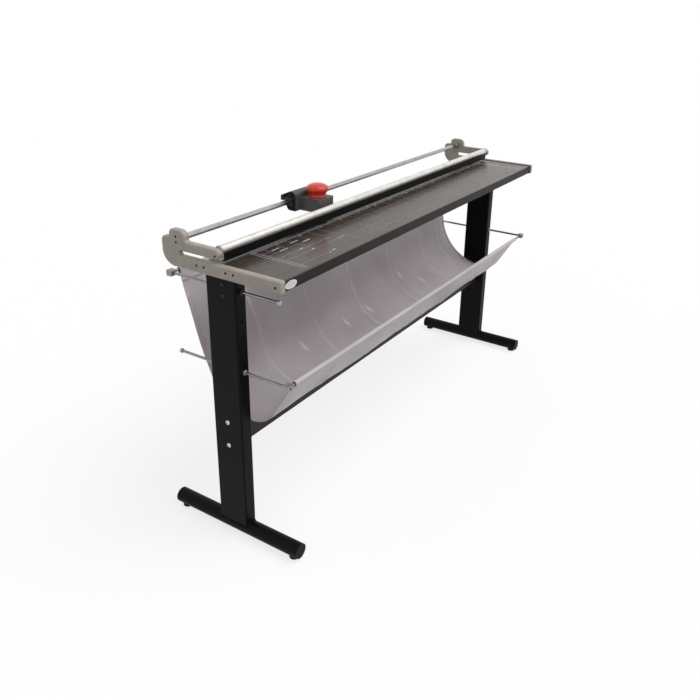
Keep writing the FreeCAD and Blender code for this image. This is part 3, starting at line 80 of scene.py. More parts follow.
def camera_axes(yaw, pitch, roll):
    """The camera's right, up and backward directions."""
    forward = Vector((math.sin(yaw) * math.cos(pitch), math.cos(yaw) * math.cos(pitch),
                      -math.sin(pitch)))
    level_right = Vector((math.cos(yaw), -math.sin(yaw), 0))
    level_down = forward.cross(level_right)
    right = level_right * math.cos(roll) + level_down * math.sin(roll)
    down = level_down * math.cos(roll) - level_right * math.sin(roll)
    return right, -down, -forward


def add_camera():
    """The camera at the photograph's viewing angle."""
    data = bpy.data.cameras.new("camera")
    data.lens = CAMERA_LENS
    data.sensor_width = SENSOR_WIDTH
    data.shift_x, data.shift_y = CAMERA_SHIFT
    data.clip_end = CAMERA_FAR
    camera = bpy.data.objects.new("camera", data)
    bpy.context.collection.objects.link(camera)
    axes = camera_axes(CAMERA_YAW, CAMERA_PITCH, CAMERA_ROLL)
    turn = Matrix(axes).transposed().to_4x4()
    camera.matrix_world = Matrix.Translation(CAMERA_PLACE) @ turn
    bpy.context.scene.camera = camera
    return camera


camera = add_camera()
print("camera at", tuple(round(v, 3) for v in camera.location))

# %% [markdown]
# ## Light, floor and background
# Product pictures of machines are lit by large soft lamps from above, with a white sweep behind.
# Here a soft sky does most of the work and one broad lamp from the upper front gives the tops of
# things their lighter tone. The background is white to the camera and to shiny metal only, so it
# doesn't flood the object with light: the sky's strength follows the kind of ray that meets it.

# %% Sky and lamps
SKY_LEVEL = 0.5
WHITE = (1, 1, 1, 1)
bpy.context.scene.view_settings.view_transform = "Standard"


def seen_directly(tree):
    """1 for rays from the camera, from a mirror or through glass, and 0 for the rest."""
    path = tree.nodes.new("ShaderNodeLightPath")
    total = path.outputs["Is Camera Ray"]
    for name in ("Is Glossy Ray", "Is Transmission Ray"):
        highest = tree.nodes.new("ShaderNodeMath")
        highest.operation = "MAXIMUM"
        tree.links.new(total, highest.inputs[0])
        tree.links.new(path.outputs[name], highest.inputs[1])
        total = highest.outputs["Value"]
    return total


def add_sky():
    """A world that lights the object softly and looks plain white."""
    world = bpy.data.worlds.new("studio_sky")
    bpy.context.scene.world = world
    world.use_nodes = True
    tree = world.node_tree
    level = tree.nodes.new("ShaderNodeMapRange")
    level.inputs["To Min"].default_value = SKY_LEVEL
    level.inputs["To Max"].default_value = 1.0
    tree.links.new(seen_directly(tree), level.inputs["Value"])
    background = tree.nodes["Background"]
    background.inputs["Color"].default_value = WHITE
    tree.links.new(level.outputs["Result"], background.inputs["Strength"])


def add_lamp(name, strength, spread, direction):
    """A broad lamp far away, shining along a direction; spread is its width in degrees."""
    data = bpy.data.lights.new(name, "SUN")
    data.energy = strength
    data.angle = math.radians(spread)
    lamp = bpy.data.objects.new(name, data)
    bpy.context.collection.objects.link(lamp)
    lamp.rotation_mode = "QUATERNION"
    lamp.rotation_quaternion = Vector(direction).to_track_quat("-Z", "Y")
    return lamp


add_sky()
lamps = [
    add_lamp("upper_front_lamp", strength=1.7, spread=50, direction=(-0.30, 0.55, -1.0)),
    add_lamp("left_end_lamp", strength=0.25, spread=60, direction=(0.9, 0.35, -0.45)),
]
print("lamps", [lamp.name for lamp in lamps])

# %% [markdown]
# ## The floor
# A pale floor throws light back up under the machine, and its white would wash out the dark parts.
# So it is two materials in one: a middling grey for the light that bounces, and for the camera a
# white that mostly glows by itself, on which a soft shadow still shows.

# %% Floor
FLOOR_HALF = 14.0
FLOOR_BOUNCE = 0.4
FLOOR_WHITE = 1.0
FLOOR_GLOW = 0.75


def floor_material():
    """Pale for the light it throws back, and white with a soft shadow to the camera."""
    material = bpy.data.materials.new("studio_floor")
    material.use_nodes = True
    tree = material.node_tree
    tree.nodes.remove(tree.nodes["Principled BSDF"])
    bounce = tree.nodes.new("ShaderNodeBsdfDiffuse")
    bounce.inputs["Color"].default_value = (FLOOR_BOUNCE, FLOOR_BOUNCE, FLOOR_BOUNCE, 1)
    pale = tree.nodes.new("ShaderNodeBsdfDiffuse")
    pale.inputs["Color"].default_value = (FLOOR_WHITE, FLOOR_WHITE, FLOOR_WHITE, 1)
    glow = tree.nodes.new("ShaderNodeEmission")
    glow.inputs["Color"].default_value = WHITE
    shown = tree.nodes.new("ShaderNodeMixShader")
    shown.inputs["Fac"].default_value = FLOOR_GLOW
    tree.links.new(pale.outputs["BSDF"], shown.inputs[1])
    tree.links.new(glow.outputs["Emission"], shown.inputs[2])
    chosen = tree.nodes.new("ShaderNodeMixShader")
    tree.links.new(seen_directly(tree), chosen.inputs["Fac"])
    tree.links.new(bounce.outputs["BSDF"], chosen.inputs[1])
    tree.links.new(shown.outputs["Shader"], chosen.inputs[2])
    tree.links.new(chosen.outputs["Shader"], tree.nodes["Material Output"].inputs["Surface"])
    return material


def add_floor():
    """One large level sheet at the height of the feet."""
    mesh = bpy.data.meshes.new("studio_floor")
    corners = [(-1, -1), (1, -1), (1, 1), (-1, 1)]
    mesh.from_pydata([(x * FLOOR_HALF, y * FLOOR_HALF, 0) for x, y in corners], [], [(0, 1, 2, 3)])
    mesh.materials.append(floor_material())
    floor = bpy.data.objects.new("studio_floor", mesh)
    bpy.context.collection.objects.link(floor)
    return floor


floor = add_floor()
print("floor", round(floor.dimensions.x), "m wide")

# %% [markdown]
# ## Making finishes
# Every surface here is a node tree: a base tone, a little unevenness in tone and gloss, and a fine
# relief. All the trees share the same few moves, so a small class holds them. Tones are written as
# they would be read off a screen, and `tone` turns them into the shader's scale, which is straight
# near black and a power above. The patterns are measured in metres in the model's frame, so a
# grain has the same real size on every piece. Paler edges come from a Bevel node: where its rounded
# direction turns away from the flat one, there is an edge. On the end plates and the cutter head
# these paler edges are painted highlights.

# %% Tools for finishes
TONE_RANGE = 255.0
STRAIGHT_END, STRAIGHT_SLOPE = 0.04045, 12.92
CURVE_LIFT, CURVE_POWER = 0.055, 2.4
EDGE_SAMPLES = 4
FLAT_MATCH, EDGE_MATCH = 0.985, 0.86
CLOUD_LOW, CLOUD_HIGH = 0.3, 0.7


def tone(*levels):
    """A screen colour, each part from 0 to 255, in the shader's linear scale."""
    linear = []
    for level in levels:
        share = level / TONE_RANGE
        if share <= STRAIGHT_END:
            linear.append(share / STRAIGHT_SLOPE)
        else:
            linear.append(((share + CURVE_LIFT) / (1 + CURVE_LIFT)) ** CURVE_POWER)
    return (*linear, 1)


class Finish:
    """A material being made: its shader, and short ways to add nodes to it."""

    def __init__(self, name, color, roughness, metallic=0.0, **sockets):
        self.material = bpy.data.materials.new(name)
        self.material.use_nodes = True
        self.tree = self.material.node_tree
        self.shader = self.tree.nodes["Principled BSDF"]
        self.shader.inputs["Base Color"].default_value = color
        self.shader.inputs["Roughness"].default_value = roughness
        self.shader.inputs["Metallic"].default_value = metallic
        for socket, value in sockets.items():
            socket = socket.replace("_", " ").title().replace("Ior", "IOR")
            self.shader.inputs[socket].default_value = value
        self.place = self.add("ShaderNodeTexCoord").outputs["Object"]

    def feed(self, socket, value):
        """Links an output to a socket, or writes a plain value on it."""
        if isinstance(value, bpy.types.NodeSocket):
            self.tree.links.new(value, socket)
        else:
            socket.default_value = value

    def add(self, kind, inputs=None, **settings):
        """A new node with its settings, and its inputs linked or written."""
        node = self.tree.nodes.new(kind)
        for key, value in settings.items():
            setattr(node, key, value)
        for key, value in (inputs or {}).items():
            self.feed(node.inputs[key], value)
        return node

    def grain(self, scale, detail=2.0, stretch=(1, 1, 1)):
        """Soft random values round a half; stretch below 1 draws them out along an axis."""
        drawn = self.add("ShaderNodeMapping", {"Vector": self.place, "Scale": stretch})
        return self.add("ShaderNodeTexNoise", {"Vector": drawn.outputs["Vector"], "Scale": scale,
                                               "Detail": detail}).outputs["Fac"]

    def ramp(self, value, low, high, start=0.0, end=1.0):
        """A value from low to high becomes one from start to end."""
        return self.add("ShaderNodeMapRange", {
            "Value": value, "From Min": low, "From Max": high, "To Min": start, "To Max": end,
        }).outputs["Result"]

    def cloud(self, scale, detail, low=CLOUD_LOW, high=CLOUD_HIGH, stretch=(1, 1, 1)):
        """Soft patches that run from 0 to 1."""
        return self.ramp(self.grain(scale, detail, stretch), low, high)

    def mix(self, share, first, second):
        """One colour at a share of 0, the other at 1."""
        node = self.add("ShaderNodeMix", {0: share, 6: first, 7: second}, data_type="RGBA")
        return node.outputs[2]

    def along(self, axis):
        """The place along one axis of the frame, in metres."""
        return self.add("ShaderNodeSeparateXYZ", {0: self.place}).outputs[axis]

    def edges(self, radius):
        """1 along outer edges and corners, 0 on flats."""
        rounded = self.add("ShaderNodeBevel", {"Radius": radius}, samples=EDGE_SAMPLES)
        flat = self.add("ShaderNodeNewGeometry").outputs["Normal"]
        match = self.add("ShaderNodeVectorMath", {0: rounded.outputs["Normal"], 1: flat},
                         operation="DOT_PRODUCT")
        return self.ramp(match.outputs["Value"], FLAT_MATCH, EDGE_MATCH)

    def color(self, value):
        """The shader's base colour from a node."""
        self.feed(self.shader.inputs["Base Color"], value)

    def gloss(self, value, smoothest, roughest):
        """Roughness that runs between two numbers with a grain's value."""
        self.feed(self.shader.inputs["Roughness"],
                  self.ramp(value, CLOUD_LOW, CLOUD_HIGH, smoothest, roughest))

    def relief(self, height, depth):
        """Bumps of a depth in metres, on top of any bumps made before."""
        bump = self.add("ShaderNodeBump", {"Height": height, "Distance": depth})
        normal = self.shader.inputs["Normal"]
        if normal.is_linked:
            self.feed(bump.inputs["Normal"], normal.links[0].from_socket)
        self.feed(normal, bump.outputs["Normal"])


print("a middle grey is", round(tone(128, 128, 128)[0], 3), "in the shader's scale")

# %% [markdown]
# ## Enamel on the castings and the table
# The end plates are castings under a thick warm-grey enamel. It could be one flat colour with a
# little gloss, but real enamel shows the sand of the mould as a slow wave and has a fine skin like
# orange peel, and here its edges are painted paler as a painted highlight. The table has a darker
# and finer enamel, and its front flange is coloured near-black, so that finish changes with the
# place along Y.

# %% Enamel finishes
FLANGE_FACE_Y = -0.1990
FOLD_WIDTH = 0.0006
STREAKED = (0.25, 1, 1)


def cast_enamel():
    """Warm-grey enamel over a sand casting, with painted highlights on its edges."""
    finish = Finish("cast_enamel", tone(176, 171, 163), 0.42)
    base = finish.mix(finish.cloud(38, 5), tone(154, 146, 136), tone(166, 159, 149))
    # Painted highlight: the edges are mixed toward a pale tone.
    finish.color(finish.mix(finish.edges(0.0016), base, tone(206, 202, 196)))
    finish.gloss(finish.grain(140, 3), 0.34, 0.5)
    finish.relief(finish.grain(90, 2), 0.00035)
    finish.relief(finish.grain(1100, 1), 0.00006)
    return finish.material


def table_enamel():
    """Fine satin enamel, dark on the flange."""
    finish = Finish("table_enamel", tone(58, 48, 42), 0.2, specular_ior_level=0.3)
    streaks = finish.cloud(30, 6, 0.35, 0.65, stretch=STREAKED)
    top = finish.mix(streaks, tone(52, 43, 38), tone(64, 54, 47))
    on_top = finish.ramp(finish.along("Y"), FLANGE_FACE_Y - FOLD_WIDTH, FLANGE_FACE_Y + FOLD_WIDTH)
    finish.color(finish.mix(on_top, tone(26, 18, 16), top))
    finish.gloss(finish.grain(60, 4), 0.2, 0.29)
    finish.relief(finish.grain(1600, 2), 0.000006)
    finish.relief(finish.grain(5, 1), 0.0003)
    return finish.material


finishes = {"cast_enamel": cast_enamel(), "table_enamel": table_enamel()}
print("finishes so far", sorted(finishes))

# %% [markdown]
# ## Powder coat, plastic and rubber
# The stand is steel under black powder coat. The powder melts into a skin of tiny even bumps,
# which takes the hard shine off it, and it thins on sharp edges. The moulded plastics have a
# finer, sparked texture and the rubber is dull with small pores. They differ in tone, gloss and
# grain size only, so one function with those as its values makes all of them.

# %% Coated and moulded finishes
WORN_EDGE = 0.0012


def dimmed(color, share):
    """A darker colour of the same hue."""
    return (*(level * share for level in color[:3]), 1)


def grained(name, color, worn, roughness, grain_scale, depth, **sockets):
    """A dull skin with an even fine grain, a little paler along its edges."""
    finish = Finish(name, color, roughness, **sockets)
    body = finish.mix(finish.cloud(22, 4), dimmed(color, 0.86), color)
    finish.color(finish.mix(finish.edges(WORN_EDGE), body, worn))
    finish.gloss(finish.grain(grain_scale / 4, 2), roughness - 0.06, roughness + 0.08)
    finish.relief(finish.grain(grain_scale, 2), depth)
    return finish.material


finishes.update({
    "dark_frame_steel": grained("dark_frame_steel", tone(34, 28, 26), tone(46, 40, 37), 0.5, 800,
                                0.0001, specular_ior_level=0.25),
    "black_powder": grained("black_powder", tone(5, 5, 5), tone(20, 20, 19), 0.48, 750,
                            0.00012, specular_ior_level=0.1),
    "black_plastic": grained("black_plastic", tone(4, 4, 5), tone(14, 14, 14), 0.5, 1500,
                             0.00004, specular_ior_level=0.1),
    "rubber": grained("rubber", tone(22, 22, 22), tone(34, 33, 32), 0.78, 600, 0.00015,
                      specular_ior_level=0.25),
    "bush_plastic": grained("bush_plastic", tone(46, 46, 47), tone(62, 62, 62), 0.42, 900,
                            0.00003),
    "socket_metal": grained("socket_metal", tone(136, 131, 126), tone(160, 156, 150), 0.42, 900,
                            0.00005, metallic=0.4),
})
print("finishes so far", sorted(finishes))

# %% [markdown]
# ## Two tones on the cutter head
# The head's body is dark grey, and its hollow ribbed ends are black, as if a black cap closed each
# end of the moulding. Both belong to one solid, so the tone changes with the place along X, over a
# tenth of a millimetre. Two materials on chosen faces would do it too, but the place along X needs
# no choice of faces. It is measured on the solid itself, so the ends stay black when the head
# slides.

# %% Head finish
CAP_DEPTH = 0.0022
CAP_BLEND = 0.0001


def head_plastic():
    """Dark grey moulding with black ribbed ends and painted highlights on its edges."""
    finish = Finish("head_plastic", tone(84, 84, 84), 0.52, specular_ior_level=0.3)
    low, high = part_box("carriage_housing")
    x = finish.along("X")
    on_left = finish.ramp(x, low[0] + CAP_DEPTH + CAP_BLEND, low[0] + CAP_DEPTH)
    on_right = finish.ramp(x, high[0] - CAP_DEPTH - CAP_BLEND, high[0] - CAP_DEPTH)
    on_cap = finish.add("ShaderNodeMath", {0: on_left, 1: on_right},
                        operation="MAXIMUM").outputs["Value"]
    body = finish.mix(finish.cloud(22, 4), tone(78, 78, 78), tone(88, 87, 88))
    # Painted highlight: the edges are mixed toward a light grey.
    body = finish.mix(finish.edges(0.0014), body, tone(132, 130, 128))
    finish.color(finish.mix(on_cap, body, tone(20, 20, 21)))
    finish.gloss(finish.grain(450, 2), 0.46, 0.6)
    finish.relief(finish.grain(1800, 2), 0.00004)
    return finish.material


finishes["head_plastic"] = head_plastic()
print("black ends", CAP_DEPTH * 1000, "mm deep")

# %% [markdown]
# ## Bare metal
# Drawn rods, ground blades, anodised tube and plated screws are all bright, and what tells them
# apart is how they were worked. Drawing and extruding leave fine lines along the bar, grinding
# leaves short scratches across it and tumbling leaves small dents. So each one is the same metal
# tree with its grain stretched its own way. A stretch below one along an axis makes long lines
# that follow that axis.

# %% Metal finishes
EVEN = (1, 1, 1)
ALONG_X = (0.02, 1, 1)
ALONG_Y = (1, 0.02, 1)
ALONG_Z = (1, 1, 0.02)


def worked_metal(name, color, smoothest, roughest, lines, scale=900, depth=0.00002, metallic=1.0):
    """Bare metal with the marks of how it was worked."""
    finish = Finish(name, color, roughest, metallic)
    marks = finish.grain(scale, 3, stretch=lines)
    finish.color(finish.mix(finish.cloud(35, 4, low=0.35), color, dimmed(color, 0.8)))
    finish.gloss(marks, smoothest, roughest)
    finish.relief(marks, depth)
    return finish.material


finishes.update({
    "chrome_rod": worked_metal("chrome_rod", tone(138, 137, 138), 0.12, 0.22, ALONG_X),
    "cross_rod": worked_metal("cross_rod", tone(140, 139, 140), 0.12, 0.22, ALONG_Y),
    "rail_steel": worked_metal("rail_steel", tone(180, 177, 174), 0.2, 0.36, ALONG_X),
    "clamp_aluminium": worked_metal("clamp_aluminium", tone(226, 223, 218), 0.3, 0.42, ALONG_X,
                                    metallic=0.8),
    "cap_metal": worked_metal("cap_metal", tone(186, 181, 174), 0.34, 0.5, EVEN, 500,
                              metallic=0.7),
    "block_metal": worked_metal("block_metal", tone(158, 155, 152), 0.36, 0.56, EVEN, 260, 0.00012,
                                metallic=0.7),
    "knife_steel": worked_metal("knife_steel", tone(190, 190, 192), 0.18, 0.38, ALONG_Z, 1400),
    "spring_steel": worked_metal("spring_steel", tone(186, 186, 188), 0.18, 0.3, EVEN),
    "zinc_screw": worked_metal("zinc_screw", tone(206, 206, 204), 0.2, 0.38, EVEN, 300, 0.00005),
    "black_screw": worked_metal("black_screw", tone(52, 51, 52), 0.32, 0.5, EVEN, 500,
                                metallic=0.6),
})
print("finishes so far", len(finishes))

# %% [markdown]
# ## The red knob and the grey cloth
# The knob is a glossy moulding: a clear red with a thin shine on top, slightly uneven as mouldings
# are. The catcher is a smooth woven sheet with a light coating. Its weave is two sets of threads
# at right angles, which two wave patterns give, one along X and one along Z. A painted highlight
# lightens the cloth along its crease ridges and dents. The mesh of the cloth carries a number at
# each point that says how much, in an attribute of its own, and the finish reads it from there.

# %% Knob and cloth finishes
THREADS_PER_METRE = 900
THREAD_SHARE = 0.12


def knob_red():
    """Glossy red moulding."""
    finish = Finish("knob_red", tone(208, 52, 24), 0.3, specular_ior_level=0.35,
                    coat_weight=0.25, coat_roughness=0.1)
    finish.color(finish.mix(finish.cloud(60, 3), tone(200, 42, 18), tone(214, 60, 30)))
    finish.gloss(finish.grain(200, 2), 0.26, 0.38)
    finish.relief(finish.grain(120, 2), 0.00008)
    return finish.material


def catcher_cloth():
    """Lightly coated grey weave."""
    finish = Finish("catcher_cloth", tone(194, 187, 191), 0.4, specular_ior_level=0.2,
                    coat_weight=0.08, coat_roughness=0.2)
    slow = finish.cloud(7, 5, 0.35, 0.65)
    threads = []
    for direction in ("X", "Z"):
        wave = finish.add("ShaderNodeTexWave", {"Vector": finish.place,
                                                "Scale": THREADS_PER_METRE / math.tau * 2},
                          bands_direction=direction)
        threads.append(wave.outputs["Fac"])
    weave = finish.add("ShaderNodeMath", {0: threads[0], 1: threads[1]},
                       operation="ADD").outputs["Value"]
    base = finish.mix(slow, tone(188, 180, 184), tone(200, 192, 196))
    # Painted highlight along the cloth's crease ridges and dents, read from the mesh.
    fold_highlight_mask = finish.add("ShaderNodeAttribute", attribute_name="fold_highlight").outputs["Fac"]
    base = finish.mix(fold_highlight_mask, base, tone(246, 240, 247))
    fine = finish.ramp(weave, 0.0, 2.0, 0.0, THREAD_SHARE)
    finish.color(finish.mix(fine, base, tone(228, 220, 230)))
    finish.gloss(finish.grain(16, 4), 0.34, 0.5)
    finish.relief(weave, 0.00006)
    finish.relief(finish.grain(220, 3), 0.0002)
    return finish.material


finishes.update({"knob_red": knob_red(), "catcher_cloth": catcher_cloth()})
print("the weave has", THREADS_PER_METRE, "threads to a metre")

# %% [markdown]
# ## Dressing the solids
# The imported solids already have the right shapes, so they stay and only change their skin. Their
# meshes are cut into triangles with every corner split, which leaves edges as sharp as paper.
# Welding the corners, dissolving the flat triangles and adding a narrow bevel gives each edge the
# small rounding that catches the light. These are modifiers, so the solids' own meshes are
# untouched.

# %% Finishes and soft edges for the solids
MERGE_DISTANCE = 0.00001
FLAT_ANGLE = math.radians(0.6)
BEVEL_ANGLE = math.radians(38)
EDGE_ROUND = {
    "left_end_plate": 0.0007, "right_end_plate": 0.0007, "table_tray": 0.0003,
    "clamp_end_caps": 0.0005, "clamp_strip": 0.0004, "guide_rail": 0.0006,
    "rail_sockets": 0.0005, "left_leg_column": 0.0004, "right_leg_column": 0.0004,
    "corner_blocks": 0.0005, "stretcher": 0.0004, "knife_beam": 0.0004,
    "left_leg_bracket": 0.0004, "right_leg_bracket": 0.0004, "foot_end_caps": 0.0006,
    "carriage_housing": 0.0004, "head_base_plate": 0.0002,
}
NODE_FINISH = {"guide_rail": "rail_steel"}


def soften_edges(node, width):
    """Rounds a solid's outer edges without touching its own mesh."""
    weld = node.modifiers.new("weld", "WELD")
    weld.merge_threshold = MERGE_DISTANCE
    flats = node.modifiers.new("flats", "DECIMATE")
    flats.decimate_type = "DISSOLVE"
    flats.angle_limit = FLAT_ANGLE
    bevel = node.modifiers.new("bevel", "BEVEL")
    bevel.width = width
    bevel.segments = 2
    bevel.limit_method = "ANGLE"
    bevel.angle_limit = BEVEL_ANGLE
    bevel.use_clamp_overlap = True


for part in frame["record"]["subparts"]:
    node = frame["nodes"][part["node"]]
    finish = NODE_FINISH.get(part["node"], part["material_slot"])
    for place in node.material_slots:
        place.material = finishes[finish]
    if part["node"] in EDGE_ROUND:
        soften_edges(node, EDGE_ROUND[part["node"]])

# %% [markdown]
# ## Building small pieces
# A drawing leaves out screw sockets, smooth rods and weld seams, but the eye looks for them. Most
# of them are round, so they are turned like work on a lathe: a profile of radius and height goes
# round an axis. A ring may also be drawn as a hexagon, which is how the sockets in the screw heads
# are made. Lengths are written in millimetres, as on the drawing, and turned into metres at the
# last moment.

# %% Tools for pieces
MILLIMETRE = 0.001
SHARP_ANGLE = math.radians(34)


def at(x, y, z):
    """A point in millimetres, as Blender's metres."""
    return Vector((x, y, z)) * MILLIMETRE


def turn_profile(shape, profile, place, axis, steps=24, hexagonal=(), closed=False, flute=None):
    """Turns a profile of radii and heights in millimetres round an axis through a point."""
    lean = Vector((0, 0, 1)).rotation_difference(Vector(axis)).to_matrix()
    rings = []
    for number, (radius, height) in enumerate(profile):
        ring = []
        for step in range(steps if radius else 1):
            angle = math.tau * step / steps
            reach = radius * (flute(angle, height) if flute else 1)
            if number in hexagonal:
                reach /= math.cos(angle % (math.tau / 6) - math.tau / 12)
            spot = at(reach * math.cos(angle), reach * math.sin(angle), height)
            ring.append(shape.verts.new(place + lean @ spot))
        rings.append(ring)
    if closed:
        rings.append(rings[0])
    for low, high in zip(rings, rings[1:]):
        for step in range(steps):
            corners = [low[step % len(low)], low[(step + 1) % len(low)],
                       high[(step + 1) % len(high)], high[step % len(high)]]
            shape.faces.new(list(dict.fromkeys(corners)))


def add_block(shape, low, high):
    """A block between two corners, with its six faces."""
    made = bmesh.ops.create_cube(shape, size=1)
    for corner in made["verts"]:
        corner.co = Vector([b if c > 0 else a for a, b, c in zip(low, high, corner.co)])
    return made["verts"]


def join_rows(shape, rows):
    """Faces between rows of points that lie side by side."""
    for left, right in zip(rows, rows[1:]):
        for k in range(len(left) - 1):
            shape.faces.new([left[k], left[k + 1], right[k + 1], right[k]])


def add_piece(name, shape, body, slot, finish=None):
    """Makes a piece of a finished shape: smooth faces, kept corners, finish and body; the slot
    names the finish when no finish is given.
    """
    bmesh.ops.recalc_face_normals(shape, faces=shape.faces)
    for face in shape.faces:
        face.smooth = True
    for edge in shape.edges:
        edge.smooth = edge.calc_face_angle(0) < SHARP_ANGLE
    mesh = bpy.data.meshes.new(name)
    shape.to_mesh(mesh)
    shape.free()
    mesh.materials.append(finishes[finish or slot])
    piece = bpy.data.objects.new(name, mesh)
    bpy.context.collection.objects.link(piece)
    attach(piece, body)
    return piece


BOTH_ENDS = (-1, 1)
print("one millimetre is", at(1, 0, 0).x, "metres")

# %% [markdown]
# ## Smooth rods and their caps
# The solids of the catcher's rods have twelve flats to keep the model light. Close up that would
# show, so each is replaced by a rod with a round section and a small chamfer, in the same place.
# The free ends of the cross rods carry turned caps with a domed face, which keep the rod from
# sliding out of its leg.

# %% Rods and caps
ROD_RADIUS = 4.0
ROD_CHAMFER = 0.5
LEG_X = 784
LONG_ROD_END = 790
UPPER_Z, LOWER_Z = 756, 529
REAR_ROD_Y, FRONT_ROD_Y = 193, -194
REAR_BLOCK_END, FRONT_BLOCK_END = 188.6, -189.6
CROSS_RODS = (
    ("left_upper_cross_rod", -LEG_X, -169, REAR_BLOCK_END, UPPER_Z),
    ("right_upper_cross_rod", LEG_X, -120, REAR_BLOCK_END, UPPER_Z),
    ("left_lower_cross_rod", -LEG_X, FRONT_BLOCK_END, 173, LOWER_Z),
    ("right_lower_cross_rod", LEG_X, FRONT_BLOCK_END, 173, LOWER_Z),
)
CAP_PROFILE = [(0, 0), (5.9, 0), (6.5, 0.5), (6.5, 6.0), (6.1, 7.1), (5.0, 7.8), (0, 8)]


def add_rod(name, start, length, axis, finish):
    """A round rod with chamfered ends that replaces the solid of the same name."""
    shape = bmesh.new()
    small = ROD_RADIUS - ROD_CHAMFER
    turn_profile(shape, [(0, 0), (small, 0), (ROD_RADIUS, ROD_CHAMFER),
                         (ROD_RADIUS, length - ROD_CHAMFER), (small, length), (0, length)],
                 at(*start), axis, steps=32)
    rod = add_piece(name + "_round", shape, "frame", "chrome_rod", finish)
    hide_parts(name)
    return rod


long_rods = [
    add_rod(name, (-LONG_ROD_END, y, z), LONG_ROD_END * 2, (1, 0, 0), "chrome_rod")
    for name, y, z in (("rear_sheet_rod", REAR_ROD_Y, UPPER_Z),
                       ("front_sheet_rod", FRONT_ROD_Y, LOWER_Z))
]
cross_rods = [add_rod(name, (x, low, z), high - low, (0, 1, 0), "cross_rod")
              for name, x, low, high, z in CROSS_RODS]

shape = bmesh.new()
for _, x, low, high, z in CROSS_RODS:
    free_end, way = (low, -1) if z == UPPER_Z else (high, 1)
    turn_profile(shape, CAP_PROFILE, at(x, free_end, z), (0, way, 0), steps=32)
rod_caps = add_piece("rod_caps_turned", shape, "frame", "cap_metal")
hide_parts("rod_end_caps")
print("rods", len(long_rods) + len(cross_rods), "caps 4")

# %% [markdown]
# ## Collars on the cross rods
# Where a cross rod goes through a leg, a collar on each face of the leg keeps it from moving. The
# lower collars are bright steel and the upper ones are blackened. Each is a short tube with a
# chamfer and a small lock screw on its side.

# %% Rod collars
COLLAR_PROFILE = [(4.05, 0), (6.6, 0), (7.0, 0.4), (7.0, 4.6), (6.6, 5.0), (4.05, 5.0)]
LOCK_PROFILE = [(0, 0), (1.4, 0), (1.4, 0.35), (0.75, 0.35), (0.75, 0.1), (0, 0.05)]
LEG_FACE_Y = 50
COLLAR_SIDE = 6.95
COLLAR_MIDDLE = 2.5

for name, z, slot in (("lower_rod_collars", LOWER_Z, "zinc_screw"),
                      ("upper_rod_collars", UPPER_Z, "black_screw")):
    shape = bmesh.new()
    for end in BOTH_ENDS:
        for way in BOTH_ENDS:
            place = at(end * LEG_X, way * LEG_FACE_Y, z)
            turn_profile(shape, COLLAR_PROFILE, place, (0, way, 0), steps=32, closed=True)
            side = place + at(end * COLLAR_SIDE, way * COLLAR_MIDDLE, 0)
            turn_profile(shape, LOCK_PROFILE, side, (end, 0, 0), steps=12, hexagonal=(3, 4))
    add_piece(name, shape, "frame", slot)
print("collars 8")

# %% [markdown]
# ## Screws
# The plates are held by small cap screws that sit in round recesses, each with a hexagonal socket.
# A socket is two hexagonal rings inside the round ones, one at the mouth and one at the floor, so
# the turning tool can make a whole screw from one profile. The stretcher's bolts have low domed
# heads in bright zinc, and the ones at the top of the legs are black.

# %% Socket screws
CAP_SCREW = [(0, -5), (1.7, -5), (1.9, -4.8), (1.9, 0), (3.2, 0), (3.45, 0.25), (3.45, 3.6),
             (3.1, 4.0), (1.95, 4.0), (1.5, 3.85), (1.5, 1.9), (0, 1.4)]
DOMED_SCREW = [(0, -6), (2.8, -6), (3.0, -5.8), (3.0, 0), (4.9, 0), (5.0, 0.3), (4.7, 1.4),
               (3.9, 2.4), (2.6, 2.9), (2.0, 2.95), (2.0, 1.0), (0, 0.6)]
DOMED_BOLT = [(0, -8), (3.8, -8), (4.0, -7.8), (4.0, 0), (6.6, 0), (6.9, 0.3), (6.9, 1.0),
              (6.2, 2.3), (4.8, 3.4), (3.2, 3.9), (2.5, 3.95), (2.5, 1.5), (0, 1.1)]
RECESS_SEAT_X = 809
LEG_SIDE_X = 804
BRACKET_SEATS = [(RECESS_SEAT_X, y, 810) for y in (-54.5, -29.5, 42.5, 67.5)]
TRAY_SEATS = [(RECESS_SEAT_X, -186, 807)]
SOCKET_SEATS = [(RECESS_SEAT_X, 135, z) for z in (858.5, 873.5)]
GUIDE_SEATS = [(RECESS_SEAT_X, 3.5, 847)]
LEG_SEATS = [(LEG_SIDE_X, -8, z) for z in (741, 773)]
STRETCHER_SEATS = [(LEG_SIDE_X, 0, z) for z in (298, 370)]


def add_screws(name, profile, seats, slot, replaced):
    """The same screw at several seats on both ends of the machine."""
    shape = bmesh.new()
    socket = (len(profile) - 3, len(profile) - 2)
    for end in BOTH_ENDS:
        for x, y, z in seats:
            turn_profile(shape, profile, at(end * x, y, z), (end, 0, 0), hexagonal=socket)
    screws = add_piece(name, shape, "frame", slot)
    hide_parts(replaced)
    return screws


screw_sets = [
    add_screws("bracket_cap_screws", CAP_SCREW, BRACKET_SEATS, "black_screw", "bracket_screws"),
    add_screws("tray_cap_screws", CAP_SCREW, TRAY_SEATS, "black_screw", "tray_screws"),
    add_screws("socket_cap_screws", CAP_SCREW, SOCKET_SEATS, "black_screw",
               "rail_socket_screws"),
    add_screws("guide_cap_screws", CAP_SCREW, GUIDE_SEATS, "black_screw", "clamp_guide_screws"),
    add_screws("leg_domed_screws", DOMED_SCREW, LEG_SEATS, "black_screw", "leg_screws"),
    add_screws("stretcher_domed_bolts", DOMED_BOLT, STRETCHER_SEATS, "zinc_screw",
               "stretcher_bolts"),
]
print("screw sets", [screws.name for screws in screw_sets])

# %% [markdown]
# ## Fixings that the drawing leaves out
# The fixed knife is screwed to its beam from behind and the head's plate is screwed on from below.
# None of these screws has a solid of its own. They have low heads that rest on the face that
# carries them, so a head is all that has to be made.

